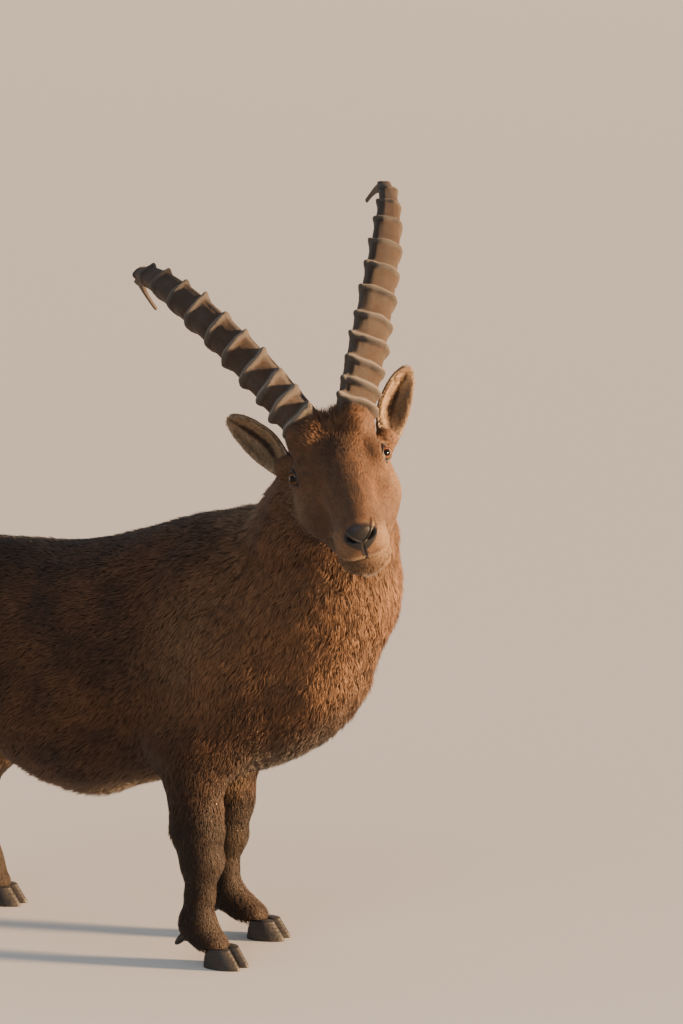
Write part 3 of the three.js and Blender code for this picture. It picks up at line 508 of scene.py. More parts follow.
def neck_share(points):
    """How far a point belongs to the neck and breast."""
    x, z = points[..., 0], points[..., 2]
    return smoothstep(300, 470, x + 0.25 * (z - 700)) * smoothstep(420, 560, z)


def coat_depth(points):
    """How deep the skin lies under the coat's surface."""
    face, leg, neck = face_share(points), leg_share(points), neck_share(points)
    depth = COAT_DEPTH["body"] + (COAT_DEPTH["neck"] - COAT_DEPTH["body"]) * neck
    depth = depth + (COAT_DEPTH["leg"] - depth) * leg
    depth = depth + (COAT_DEPTH["tail"] - depth) * tail_share(points)
    return depth + (COAT_DEPTH["face"] - depth) * face


def skin_field(points):
    """The distance to the skin, which is cut off level at the coronets."""
    field = flesh(points) + coat_depth(points).astype(points.dtype)
    return smooth_max(field, CORONET - points[..., 2], 10)


def slope_of(field, points, step=0.6):
    """How fast a field grows along each axis."""
    slope = np.empty_like(points)
    for axis in range(3):
        move = np.zeros(3)
        move[axis] = step
        slope[:, axis] = (field(points + move) - field(points - move)) / (2 * step)
    return slope


def drawn_to(field, points, rounds=2, most=4.0):
    """Points moved along the slope onto the surface of a field."""
    for _ in range(rounds):
        slope = slope_of(field, points)
        steep = (slope * slope).sum(-1).clip(0.05)
        move = -(field(points) / steep)[:, None] * slope
        size = np.linalg.norm(move, axis=1, keepdims=True).clip(1e-9)
        points = points + move * np.minimum(1, most / size)
    return points


# The skin's grid, and the parts of the head where its faces are split finer
SKIN_STEP = 9.3
SKIN_LOW = point(-520, -350, 0)
SKIN_HIGH = point(800, 250, 1070)
HEAD_REACH = ((-125, 262), (-130, 130), (-150, 110))
FACE_REACH = ((-70, 262), (-130, 130), (-150, 90))
MUZZLE_REACH = ((122, 262), (-80, 80), (-128, 10))
EYE_REACH = 32


def within(head, reach):
    """True for points of the head's frame inside a box."""
    inside = np.ones(len(head), dtype=bool)
    for axis, (low, high) in enumerate(reach):
        inside &= (head[:, axis] > low) & (head[:, axis] < high)
    return inside


def in_head(points):
    return within(to_head(points), HEAD_REACH)


def in_face(points):
    return within(to_head(points), FACE_REACH)


def away_from_eyes(head):
    return np.minimum(*(np.linalg.norm(head - mirrored(EYE_AT, side), axis=1) for side in SIDES))


def near_features(points):
    """The eyes, nose and mouth, where the skin is finest."""
    head = to_head(points)
    return (away_from_eyes(head) < EYE_REACH) | within(head, MUZZLE_REACH)


def split_faces(work, chosen):
    """Splits the faces whose middle is chosen into four, and keeps the mesh closed."""
    middles = np.array([face.calc_center_median() for face in work.faces])
    edges = {edge for face, pick in zip(work.faces, chosen(middles)) if pick for edge in face.edges}
    bmesh.ops.subdivide_edges(work, edges=list(edges), cuts=1, use_grid_fill=True)
    places = np.array([vertex.co for vertex in work.verts])
    picked = np.flatnonzero(chosen(places))
    work.verts.ensure_lookup_table()
    for index, place in zip(picked, drawn_to(skin_field, places[picked])):
        work.verts[index].co = place


def skin_points_and_faces():
    """The skin as points and quads, where its field crosses zero."""
    count = ((SKIN_HIGH - SKIN_LOW) / SKIN_STEP).astype(int) + 1
    axes = [np.arange(n, dtype=np.float32) * SKIN_STEP + low for n, low in zip(count, SKIN_LOW)]
    values = np.empty(count, dtype=np.float32)
    y, z = np.meshgrid(axes[1], axes[2], indexing="ij")
    for i, x in enumerate(axes[0]):
        values[i] = skin_field(np.stack([np.full_like(y, x), y, z], axis=-1).astype(np.float32))
    grid = openvdb.FloatGrid(SKIN_STEP)
    grid.copyFromArray(values)
    points, quads = grid.convertToQuads(isovalue=0.0)
    return drawn_to(skin_field, points * SKIN_STEP + SKIN_LOW), quads


# Details of the head, pressed into or raised from its skin
EYE_OPENING = (12.4, 9.6)
LID_THICKNESS = 2.6
LID_OUTER = 1.42
NOSTRIL_AT = point(188, 18.5, -28)
NOSTRIL_HALF = (12.5, 4.4)
NOSTRIL_SLANT = math.radians(40)
NOSTRIL_DEPTH = 9.0
MOUTH_HEIGHT = -84
MOUTH_BACK = 112
NOSE_PAD_AT = point(190, 0, -30)
NOSE_PAD_HALF = (30, 25)


def across_from(way, wanted):
    """The unit way nearest to a wanted one that lies square to a given way."""
    return unit(wanted - way * (way @ wanted))


def eye_axes(side):
    """Where the eye lies, the way it looks, and the ways to the nose and upwards across it."""
    looks = mirrored(EYE_LOOKS, side)
    ahead = across_from(looks, point(1, 0, -0.25))
    up = np.cross(looks, ahead) * -side
    return mirrored(EYE_AT, side), looks, ahead, up


def seen_from_eye(head, side):
    """How far points of the head lie from an eye: their offset, and its parts along and across the look."""
    at, looks, ahead, up = eye_axes(side)
    rel = head - at
    return rel, rel @ looks, rel @ ahead, rel @ up


def opening_reach(a, b):
    """How far a place across the eye lies from its middle: 1 on the lids' edge, which narrows to the nose."""
    drawn = 1 - 0.28 * smoothstep(4, 13, a)
    return np.sqrt((a / EYE_OPENING[0]) ** 2 + (b / (EYE_OPENING[1] * drawn)) ** 2)


def tear_line(a, b):
    """How high a place lies over the groove that runs from the eye's inner corner."""
    return b + 0.22 * (a - 12)


def nostril_reach(head):
    """How far a place lies from a nostril's middle, 1 on its edge, and how far it is on the nose's front."""
    rel_y = np.abs(head[:, 1]) - NOSTRIL_AT[1]
    rel_z = head[:, 2] - NOSTRIL_AT[2]
    along = rel_y * math.cos(NOSTRIL_SLANT) + rel_z * math.sin(NOSTRIL_SLANT)
    across = rel_z * math.cos(NOSTRIL_SLANT) - rel_y * math.sin(NOSTRIL_SLANT)
    across = across - 0.018 * (along - 2) ** 2
    wide = NOSTRIL_HALF[1] * (1 + 0.35 * along / NOSTRIL_HALF[0])
    reach = np.sqrt((along / NOSTRIL_HALF[0]) ** 2 + (across / wide) ** 2)
    return reach, smoothstep(168, 176, head[:, 0])


def pad_share(head):
    """The bare nose pad, between and round the nostrils and down to the lip."""
    y = np.abs(head[:, 1])
    z = head[:, 2] - NOSE_PAD_AT[2]
    half_y = NOSE_PAD_HALF[0] * (1 - 0.5 * smoothstep(0, -26, z))
    reach = np.sqrt((y / half_y) ** 2 + (z / NOSE_PAD_HALF[1]) ** 2)
    lip = smoothstep(7, 3, y) * smoothstep(MOUTH_HEIGHT + 6, MOUTH_HEIGHT + 12, head[:, 2])
    share = np.maximum(smoothstep(1.12, 0.92, reach), lip * smoothstep(-30, -42, head[:, 2]))
    return share * smoothstep(166, 176, head[:, 0])


def mouth_line(head):
    """The height of the mouth's line, which rises a little to its corner."""
    return MOUTH_HEIGHT + 5 * smoothstep(150, MOUTH_BACK, head[:, 0])


FACE_FORMS = [
    # place, reach, rise: before the eye, beside the nose, brow, edge of the nose, nostril, lip, cheek, jaw
    ((38, 62, -36), (26, 17, 17), -5.0),
    ((84, 44, -34), (44, 13, 16), -3.4),
    ((-8, 64, 12), (24, 16, 12), 4.2),
    ((84, 21, -2), (70, 9, 12), 1.8),
    ((176, 32, -36), (15, 11, 15), 1.8),
    ((150, 44, -62), (22, 14, 16), 1.6),
    ((24, 84, -40), (34, 14, 10), 2.4),
    ((60, 66, -64), (30, 16, 24), -2.4),
]


def shaped_head(points, normals):
    """The corners of the head's skin with lids, nostrils, lips and folds."""
    head = to_head(points)
    out = np.zeros(len(points))
    reach, front = nostril_reach(head)
    out -= NOSTRIL_DEPTH * smoothstep(1.0, 0.45, reach) * front
    out += 2.2 * bell(reach, 1.35, 0.3) * front
    out += 0.8 * pad_share(head)
    for place, reach, rise in FACE_FORMS:
        out += rise * near_both(head, place, reach)
    height = head[:, 2] - mouth_line(head)
    at_mouth = smoothstep(MOUTH_BACK - 6, MOUTH_BACK + 12, head[:, 0])
    out += (1.5 * bell(height, 6, 3.6) + 1.1 * bell(height, -6, 3.6) - 2.4 * bell(height, 0, 1.9)) * at_mouth
    cleft = smoothstep(-36, -46, head[:, 2]) * smoothstep(MOUTH_HEIGHT, MOUTH_HEIGHT + 4, head[:, 2])
    out -= 2.4 * bell(head[:, 1], 0, 1.7) * cleft * smoothstep(176, 184, head[:, 0])
    moved = points + normals * out[:, None]
    for side in SIDES:
        moved = with_lids(moved, side)
    return moved


def with_lids(points, side):
    """Opens the skin over the eye, and raises a lid with a crease round it."""
    rel, out, a, b = seen_from_eye(to_head(points), side)
    reach = opening_reach(a, b)
    radius = np.linalg.norm(rel, axis=1)
    near = (out > 2) & (reach < 3.2)
    lid = EYE_RADIUS + LID_THICKNESS
    below = EYE_RADIUS - 2.5
    outside = np.maximum(radius, lid - 1.5)
    target = below + (lid - below) * smoothstep(0.93, 1.06, reach)
    target = target + (outside - target) * smoothstep(LID_OUTER - 0.2, LID_OUTER + 0.75, reach)
    crease = 1.5 * bell(reach, LID_OUTER + 0.16, 0.11) * smoothstep(-4, 4, b)
    bag = 0.9 * bell(reach, LID_OUTER + 0.1, 0.1) * smoothstep(2, -5, b)
    tear = 1.9 * bell(tear_line(a, b), 0, 2.2) * smoothstep(10, 14, a) * smoothstep(32, 18, a)
    target = target - crease - bag - tear
    share = smoothstep(3.0, 2.2, reach) * near
    radius_now = radius + (target - radius) * share
    grown = mirrored(EYE_AT, side) + rel / radius.clip(1e-6)[:, None] * radius_now[:, None]
    return np.where(near[:, None], from_head(grown), points)


def bare_share(points):
    """Bare skin: the nose pad, the dark rim of the lids, and the line of the lips."""
    head = to_head(points)
    pad = pad_share(head)
    rim = np.zeros(len(head))
    for side in SIDES:
        rel, out, a, b = seen_from_eye(head, side)
        tear = smoothstep(8, 12, a) * smoothstep(24, 17, a) * smoothstep(4.5, 2, np.abs(tear_line(a, b)))
        near = (out > 2) & (np.linalg.norm(rel, axis=1) < 40)
        rim = np.maximum(rim, np.maximum(smoothstep(1.46, 1.3, opening_reach(a, b)), tear) * near)
    height = np.abs(head[:, 2] - mouth_line(head))
    lips = smoothstep(4.0, 2.2, height) * smoothstep(MOUTH_BACK - 6, MOUTH_BACK + 6, head[:, 0])
    lips = lips * (head[:, 0] > 60) * (np.abs(head[:, 1]) < 60)
    return np.stack([pad, rim, lips], axis=-1)


# Markings of the coat, the same for skin and hair


def near_place(points, place, reach):
    """1 at a place, and less away from it along each axis."""
    rel = (points - np.asarray(place)) / np.asarray(reach)
    return np.exp(-(rel * rel).sum(-1))


def near_both(points, place, reach):
    """The same mark on both sides."""
    folded = np.stack([points[:, 0], np.abs(points[:, 1]), points[:, 2]], axis=-1)
    return near_place(folded, place, reach)


def markings(points):
    """How pale, how dark and how rusty the coat is at each point; some of the dark is painted shade behind
    the jaw and in the cheek groove.
    """
    head = to_head(points)
    face, leg, neck = face_share(points), leg_share(points), neck_share(points)
    x, y, z = points[:, 0], points[:, 1], points[:, 2]
    body = (1 - face) * (1 - leg)
    under = smoothstep(70, 10, z - belly_line(x)) * smoothstep(120, 60, np.abs(y)) * (x < 470)
    pale = 0.75 * under * body
    pale += 0.55 * near_both(points, (-425, 40, 560), (60, 60, 120)) * body
    pale += 0.55 * near_place(points, (395, -60, 850), (80, 90, 40)) * (1 - face)
    pale += 0.35 * near_both(points, (330, 190, 600), (90, 80, 120)) * body
    pale += 0.8 * near_both(points, (326, 84, 180), (40, 26, 40)) * leg
    pale += 0.25 * neck * (1 - face)
    stripe = smoothstep(30, 8, np.abs(y)) * smoothstep(60, 10, back_line(x) - z) * body * (1 - neck)
    dark = 0.85 * leg + 0.55 * stripe
    dark += 0.45 * near_both(points, (60, 160, 370), (260, 60, 50)) * body
    dark += 0.5 * smoothstep(480, 330, z) * smoothstep(200, 330, x) * body
    dark += 0.4 * smoothstep(460, 340, z) * smoothstep(-180, -260, x) * body
    dark += 0.6 * near_place(points, (500, 0, 400), (90, 130, 90)) * body
    dark += 0.4 * near_both(points, (-240, 150, 500), (120, 80, 70)) * body
    # Partly painted shade: this dark band on the neck just behind the jaw line is the neck's own darker hair
    # and also the shade under the jaw.
    dark += 0.6 * near_both(head, (-20, 62, -150), (90, 60, 46)) * (1 - face)
    dark += 0.8 * tail_share(points)
    rust = 0.45 * neck * (1 - face) + 0.25 * near_both(points, (330, 160, 620), (120, 90, 160)) * body
    grey_cheek = near_both(head, (20, 84, -62), (34, 30, 30)) + near_both(head, (-24, 84, -24), (18, 24, 16))
    chin = smoothstep(MOUTH_HEIGHT + 4, MOUTH_HEIGHT - 8, head[:, 2]) * smoothstep(96, 130, head[:, 0])
    over_lip = head[:, 2] - mouth_line(head)
    lip = smoothstep(17, 9, over_lip) * smoothstep(-2, 1, over_lip) * smoothstep(100, 130, head[:, 0])
    muzzle = near_both(head, (176, 34, -48), (26, 20, 30))
    pale_face = 0.14 + 0.45 * grey_cheek + 0.3 * chin + 0.8 * lip + 0.6 * muzzle
    forehead = near_place(head, (-14, 0, 26), (44, 16, 30))
    jaw = near_both(head, (30, 56, -118), (80, 30, 26))
    # The last mark of dark_face is painted shade, laid in the cheek groove that FACE_FORMS presses in.
    dark_face = 0.5 * forehead + 0.5 * jaw + 0.25 * chin + 0.35 * near_both(head, (62, 58, -66), (40, 18, 22))
    crown = near_place(head, (-34, 0, 46), (26, 34, 22))
    rust_face = 0.3 + 0.5 * crown + 0.3 * near_both(head, (70, 40, -20), (70, 24, 26))
    pale = pale * (1 - face) + pale_face * face
    dark = dark * (1 - face) + dark_face * face
    rust = rust * (1 - face) + rust_face * face
    return np.clip(np.stack([pale, dark, rust], axis=-1), 0, 1)


def make_skin():
    """The skin in one piece, finer on the head and finest round the eyes, nose and mouth."""
    points, quads = skin_points_and_faces()
    mesh = bpy.data.meshes.new("skin")
    mesh.from_pydata(points.tolist(), [], quads.tolist())
    work = bmesh.new()
    work.from_mesh(mesh)
    bmesh.ops.recalc_face_normals(work, faces=work.faces)
    split_faces(work, in_head)
    split_faces(work, in_face)
    split_faces(work, near_features)
    work.to_mesh(mesh)
    work.free()
    points = rows_of(mesh.vertices, "co").astype(np.float64)
    fine = np.flatnonzero(in_head(points))
    normals = unit(slope_of(skin_field, points[fine]))
    points[fine] = shaped_head(points[fine], normals)
    set_corners(mesh, points)
    mesh.polygons.foreach_set("use_smooth", np.ones(len(mesh.polygons), dtype=bool))
    mesh.update()
    skin = linked(bpy.data.objects.new("skin", mesh))
    set_attribute(skin, "mark", markings(points))
    set_attribute(skin, "bare", bare_share(points))
    return skin


# The lie of the coat: at each place the way the hair runs, its length, lift and width, in millimetres
LIE = [
    # place, reach, runs, length, lift in degrees, width, tufts for each square centimetre
    ((262, 0, 834), 90, (-1, 0, -0.12), 24, 27, 1.7, 9.98),
    ((20, 0, 771), 120, (-1, 0, -0.05), 22, 25, 1.7, 9.98),
    ((-220, 0, 757), 110, (-1, 0, -0.2), 22, 25, 1.7, 9.98),
    ((-425, 0, 640), 70, (-0.2, 0, -1), 24, 27, 1.7, 9.98),
    ((60, 170, 640), 110, (-0.9, 0, -0.42), 23, 25, 1.7, 9.98),
    ((70, 175, 480), 110, (-0.85, 0, -0.55), 24, 25, 1.7, 9.98),
    ((-180, 160, 600), 100, (-0.88, 0, -0.5), 23, 25, 1.7, 9.98),
    ((60, 130, 340), 90, (-0.75, -0.2, -0.65), 27, 30, 1.8, 9.67),
    ((60, 0, 268), 80, (-0.85, 0, -0.4), 31, 36, 1.8, 8.58),
    ((240, 0, 310), 60, (-0.9, 0, -0.3), 28, 29, 1.8, 8.89),
    ((330, 150, 640), 90, (-0.5, 0, -0.86), 22, 25, 1.7, 9.98),
    ((320, 120, 780), 70, (-0.82, 0.15, -0.55), 24, 27, 1.7, 9.98),
    ((300, 140, 480), 80, (-0.4, 0, -0.9), 22, 23, 1.6, 10.5),
    ((440, 120, 480), 80, (-0.45, 0.1, -0.88), 24, 27, 1.7, 9.98),
    ((600, 0, 600), 80, (-0.15, 0, -1), 27, 36, 1.8, 9.67),
    ((500, 0, 400), 70, (-0.75, 0, -0.66), 25, 34, 1.8, 9.36),
    ((-250, 160, 560), 90, (-0.55, 0, -0.83), 22, 23, 1.6, 10.5),
    ((-330, 130, 430), 80, (-0.3, 0, -0.95), 19, 21, 1.5, 11.2),
    ((-180, 110, 420), 70, (-0.4, 0, -0.92), 21, 23, 1.5, 10.8),
    ((310, 114, 330), 60, (-0.2, 0, -0.98), 20, 18, 1.5, 12.3),
    ((330, 112, 200), 60, (-0.05, 0, -1), 13, 14, 1.2, 16.7),
    ((320, 112, 110), 60, (-0.1, 0, -1), 11, 14, 1.1, 18.3),
    ((350, 114, 40), 40, (0.25, 0, -1), 12, 12, 1.1, 18.3),
    ((-300, 116, 320), 60, (-0.35, 0, -0.94), 17, 16, 1.4, 13.9),
    ((-345, 118, 190), 70, (0, 0, -1), 12, 14, 1.2, 17),
    ((-320, 120, 60), 60, (0.15, 0, -1), 12, 13, 1.1, 18.3),
    ((560, -50, 850), 60, (-0.35, 0.25, -0.9), 25, 32, 1.5, 12),
    ((480, 60, 780), 80, (-0.55, 0.2, -0.8), 28, 34, 1.6, 11.5),
    ((480, -120, 740), 80, (-0.5, -0.1, -0.86), 28, 34, 1.6, 11.5),
    ((430, 0, 860), 60, (-0.85, 0.1, -0.42), 27, 34, 1.6, 11.5),
    ((600, -20, 720), 60, (-0.05, 0.05, -1), 30, 36, 1.7, 11.2),
    ((-436, 0, 690), 26, (-0.5, 0, -0.86), 44, 34, 1.8, 12.5),
    ((-470, 0, 620), 26, (-0.45, 0, -0.9), 62, 26, 2, 15.6),
    ((-440, 0, 610), 20, (-0.3, 0, -0.95), 54, 24, 2, 15.6),
    ((400, -140, 640), 70, (-0.5, 0, -0.86), 25, 32, 1.6, 10.8),
]
HEAD_LIE = [
    ((170, 0, -6), 26, (-1, 0, 0.1), 4.5, 10, 0.74, 36.8),
    ((170, 34, -46), 24, (-0.85, 0.2, -0.25), 5.0, 12, 0.81, 36.8),
    ((190, 20, -66), 18, (-0.3, 0.4, -0.8), 4.5, 14, 0.74, 38.6),
    ((162, 0, -130), 15, (-0.45, 0, -1), 17.0, 36, 1.4, 29.8),
    ((150, 24, -118), 16, (-0.7, 0.3, -0.7), 11.0, 24, 1.2, 29.8),
    ((110, 0, 0), 34, (-1, 0, 0.1), 6.0, 11, 0.86, 33.4),
    ((60, 0, 12), 34, (-1, 0, 0.2), 8.5, 14, 1, 31.6),
    ((14, 0, 26), 28, (-1, 0, 0.2), 13.0, 20, 1.2, 28.1),
    ((2, 30, 28), 24, (-0.8, 0.6, 0.2), 13.0, 20, 1.2, 28.1),
    ((-32, 0, 46), 18, (-1, 0, 0.6), 22.0, 40, 1.5, 28.1),
    ((-30, 34, 40), 18, (-0.5, 0.85, 0.3), 18.0, 30, 1.4, 28.1),
    ((-56, 0, 54), 16, (-0.8, 0, 0.6), 34.0, 56, 1.6, 28.1),
    ((90, 44, -50), 34, (-0.95, 0.1, -0.3), 6.5, 12, 0.95, 31.6),
    ((40, 70, -66), 34, (-0.9, 0.1, -0.42), 8.5, 13, 1, 29.8),
    ((20, 56, 4), 30, (-0.9, 0.35, 0.25), 8.0, 13, 1, 31.6),
    ((-40, 80, -10), 26, (-0.9, 0.3, 0.1), 10.0, 15, 1.1, 29.8),
    ((80, 30, -112), 34, (-0.95, 0.1, -0.2), 12.0, 18, 1.3, 21),
    ((0, 50, -118), 40, (-0.85, 0.1, -0.5), 20.0, 22, 1.7, 15.8),
    ((-70, 70, -80), 34, (-0.7, 0.1, -0.7), 24.0, 24, 1.9, 14.9),
    ((-90, 0, 40), 30, (-1, 0, -0.3), 24.0, 26, 1.9, 15.8),
]


def lie_rows():
    """Every row of the lie of the coat, those beside the middle line on both sides, in the animal's frame."""
    rows = []
    for place, reach, runs, *hair in LIE:
        for side in SIDES if place[1] > 100 else (LEFT,):
            rows.append((mirrored(place, side), reach, unit(mirrored(runs, side)), hair))
    for place, reach, runs, *hair in HEAD_LIE:
        for side in SIDES if place[1] else (LEFT,):
            way = HEAD_AXES @ unit(mirrored(runs, side))
            rows.append((from_head(mirrored(place, side)), reach, way, hair))
    return rows


def lie_at(points):
    """The way the hair runs at each point, and its length, lift, width and closeness."""
    total = np.zeros(len(points))
    runs = np.zeros((len(points), 3))
    hair = np.zeros((len(points), 4))
    for place, reach, way, values in lie_rows():
        rel = (points - place) / reach
        weight = 1 / ((rel * rel).sum(-1) + 0.15) ** 3
        total += weight
        runs += weight[:, None] * way
        hair += weight[:, None] * np.array(values)
    return unit(runs), hair / total[:, None]


EYE_HAIR_REACH = 34


def hair_closeness(points):
    """Tufts for each square centimetre: closest round the eyes, where they are shortest."""
    away = away_from_eyes(to_head(points))
    return lie_at(points)[1][:, 3] * (1 + 1.3 * smoothstep(EYE_HAIR_REACH + 8, 20, away))


def parted_round_eyes(roots, runs, values):
    """Short hair next to an eye, that runs past its lids and not across them."""
    head = to_head(roots)
    for side in SIDES:
        at, looks, ahead, up = eye_axes(side)
        rel = head - at
        a, b = rel @ ahead, rel @ up
        far = np.hypot(a, b).clip(1e-6)
        near = smoothstep(EYE_HAIR_REACH, 15, far) * (rel @ looks > -6)
        away = (a / far)[:, None] * (HEAD_AXES @ ahead) + (b / far)[:, None] * (HEAD_AXES @ up)
        towards = np.minimum((runs * away).sum(1), 0)
        runs = unit(runs - (towards * near)[:, None] * away * 1.15 + 0.3 * near[:, None] * away)
        values = values * (1 - near[:, None] * np.array([0.45, 0.3, 0.15, 0]))
    return runs, values


def waves(points, length, seed):
    """A smooth value between -1 and 1 that changes over about the given length."""
    draws = np.random.default_rng(seed)
    total = np.zeros(len(points))
    for _ in range(5):
        way = unit(draws.normal(size=3)) * 2 * math.pi / length * draws.uniform(0.7, 1.4)
        total += np.sin(points @ way + draws.uniform(0, 2 * math.pi))
    return total / 3.2


SQUARE_CM = 100
COAT_CLOSENESS = 1.0


def sown(piece, closeness_at):
    """Roots of tufts spread over a piece, their normals, and how its corners' values carry to them."""
    mesh = piece.data
    mesh.calc_loop_triangles()
    corners = rows_of(mesh.loop_triangles, "vertices", np.int32)
    places = rows_of(mesh.vertices, "co").astype(np.float64) / MM + ORIGIN
    normals = rows_of(mesh.vertices, "normal").astype(np.float64)
    a, b, c = (places[corners[:, k]] for k in range(3))
    area = np.linalg.norm(np.cross(b - a, c - a), axis=1) / 2
    expected = area / SQUARE_CM * closeness_at((a + b + c) / 3) * COAT_CLOSENESS
    number = np.floor(expected + random.random(len(expected))).astype(int)
    face = np.repeat(np.arange(len(corners)), number)
    u, w = random.random(len(face)), random.random(len(face))
    flip = u + w > 1
    u[flip], w[flip] = 1 - u[flip], 1 - w[flip]
    share = np.stack([1 - u - w, u, w], axis=-1)[:, :, None]

    def carried(values):
        return (values[corners[face]] * share).sum(1)

    return carried(places), unit(carried(normals)), carried


def bare_places(roots):
    """True where no hair grows: nose pad, eye rims, lips, eyes, horn roots, ear roots and hooves."""
    pad, rim, lips = bare_share(roots).T
    head = to_head(roots)
    over_lip = head[:, 2] - mouth_line(head)
    at_lips = (over_lip > -2.6) & (over_lip < 4.6) & (head[:, 0] > MOUTH_BACK)
    bare = (pad > 0.35) | (rim > 0.12) | (lips > 0.55) | at_lips
    for side in SIDES:
        at, looks, _, _ = eye_axes(side)
        bare |= (np.linalg.norm(head - at, axis=1) < EYE_RADIUS - 0.5) & (head @ looks > 0)
        along, straight = horn_direction(side, 0)
        outward = np.cross(along, straight)
        rel = head - HORN_PATH[side]["root"] + straight * HORN_DEPTH * (HORN_FRONT + 0.08)
        across, fore = rel @ outward / (HORN_WIDTH / 2), rel @ straight / (HORN_DEPTH / 2)
        bare |= (across**2 + fore**2 < 0.86) & (rel @ along > -40) & (head[:, 2] > 0)
        ear = head - mirrored(EAR_ROOT, side)
        bare |= np.linalg.norm(ear, axis=1) < 12
    bare |= roots[:, 2] < CORONET + 1
    return bare


TUFT_SUNK = 1.5
TUFT_FLATNESS = 0.34
WIDEST_AT = 0.38
TUFTS_IN_CLUMP = 22


def tufts_of(roots, out, runs, hair, clumped, curl):
    """The five corners of each tuft, a flat three-sided blade pointed at both ends, and its tone."""
    length, lift, width = hair[:, 0:1], np.radians(hair[:, 1:2]), hair[:, 2:3]
    sway = random.normal(size=(len(roots), 3)) * 0.16
    way = runs + sway
    way = unit(way - (way * out).sum(1, keepdims=True) * out)
    low_lift = lift * random.uniform(1.0, 1.7, (len(roots), 1))
    high_lift = lift * random.uniform(0.1, 0.9, (len(roots), 1))
    size = length * random.uniform(0.72, 1.2, (len(roots), 1))
    middle = roots + size * WIDEST_AT * (way * np.cos(low_lift) + out * np.sin(low_lift))
    tip = middle + size * (1 - WIDEST_AT) * (way * np.cos(high_lift) + out * np.sin(high_lift))
    heart = hearts_of(roots)
    tip = gathered(roots, heart, tip, size, clumped)
    side = unit(unit(np.cross(way, out)) + out * random.normal(size=(len(roots), 1)) * 0.22)
    down = unit(np.cross(side, way))
    middle = middle + curl[:, None] * size * 0.14 * side
    half = side * width * 0.45
    under = middle - down * width * TUFT_FLATNESS
    corners = [roots - out * TUFT_SUNK, middle - half, middle + half, under, tip]
    tone = 0.4 * random.random(len(roots)) + 0.6 * random.random(len(roots))[heart]
    return np.stack(corners, axis=1), tone


def hearts_of(roots):
    """For each tuft, the tuft at the heart of its clump."""
    chosen = np.flatnonzero(random.random(len(roots)) < 1 / TUFTS_IN_CLUMP)
    if len(chosen) == 0:
        return np.arange(len(roots))
    tree = KDTree(len(chosen))
    for index, place in enumerate(roots[chosen]):
        tree.insert(Vector(place), index)
    tree.balance()
    return np.array([chosen[tree.find(Vector(place))[1]] for place in roots])


def gathered(roots, heart, tip, size, clumped):
    """Tips drawn towards the tip at the heart of their clump, as wool and damp hair gather."""
    pull = (tip[heart] - tip) + (roots - roots[heart]) * 0.15
    far = np.linalg.norm(roots - roots[heart], axis=1, keepdims=True)
    share = clumped[:, None] * smoothstep(1.0, 0.5, far / (size * 0.9))
    return tip + pull * share


TUFT_FACES = np.array([(0, 1, 3), (0, 3, 2), (0, 2, 1), (1, 4, 3), (3, 4, 2), (2, 4, 1)])
TUFT_ALONG = np.array([0, WIDEST_AT, WIDEST_AT, WIDEST_AT, 1.0])
TUFT_ACROSS = np.array([0, -1, 1, 0, 0])
PATCH = 0.003


def unwrapped(roots, start, end, up):
    """The place of each root on an unwrap round an axis, filling the unit square."""
    axis = end - start
    along = (roots - start) @ axis / (axis @ axis)
    axis = unit(axis)
    up = across_from(axis, up)
    across = np.cross(axis, up)
    rel = roots - start
    angle = np.arctan2(rel @ across, rel @ up)
    flat = np.stack([along, angle], axis=-1)
    low, high = flat.min(0), flat.max(0)
    return 0.01 + 0.975 * (flat - low) / (high - low).clip(1e-6)


def coat_piece(name, roots, out, marks, corners, tone):
    """One piece of the coat as a closed mesh of tufts, with its bake map."""
    number, count = corners.shape[:2]
    faces = (TUFT_FACES[None] + (np.arange(number) * count)[:, None, None]).reshape(-1, 3)
    piece = new_mesh(name, corners.reshape(-1, 3), faces)
    set_attribute(piece, "mark", np.repeat(marks, count, axis=0))
    set_attribute(piece, "skinward", np.repeat(out, count, axis=0))
    hair = np.empty((number, count, 3))
    hair[:, :, 0] = TUFT_ALONG
    hair[:, :, 1] = TUFT_ACROSS
    hair[:, :, 2] = tone[:, None]
    set_attribute(piece, "hair", hair.reshape(-1, 3))
    patch = np.stack([TUFT_ACROSS * PATCH / 2, TUFT_ALONG * PATCH], axis=-1)
    spot = unwrapped(roots, *coat_axis(name))[:, None, :] + patch
    spot = spot.reshape(-1, 2)[faces.ravel()]
    layer = piece.data.uv_layers.new(name="OFBake")
    layer.data.foreach_set("uv", np.clip(spot, 0, 1).astype(np.float32).ravel())
    return piece


COAT_BANDS = {"rump": (-600, -210), "flank": (-210, 60), "ribs": (60, 260), "shoulder": (260, 900)}


def coat_parts(roots):
    """The name of the coat piece that each root belongs to."""
    x, y = roots[:, 0], roots[:, 1]
    names = np.full(len(roots), "", dtype=object)
    left = y > 0
    for band, (low, high) in COAT_BANDS.items():
        for side, chosen in (("left", left), ("right", ~left)):
            names[(x >= low) & (x < high) & chosen] = f"coat_{band}_{side}"
    neck = neck_share(roots) > 0.5
    names[neck & left] = "coat_neck_left"
    names[neck & ~left] = "coat_neck_right"
    legs = leg_share(roots) > 0.4
    for name, leg in LEGS.items():
        here = (y > 0) == (leg["side"] == LEFT)
        names[legs & here & ((x > 0) == leg["front"])] = f"coat_leg_{name}"
    face = face_share(roots) > 0.5
    across = to_head(roots)[:, 1] > 0
    names[face & across] = "coat_face_left"
    names[face & ~across] = "coat_face_right"
    names[tail_share(roots) > 0.5] = "coat_tail"
    return names


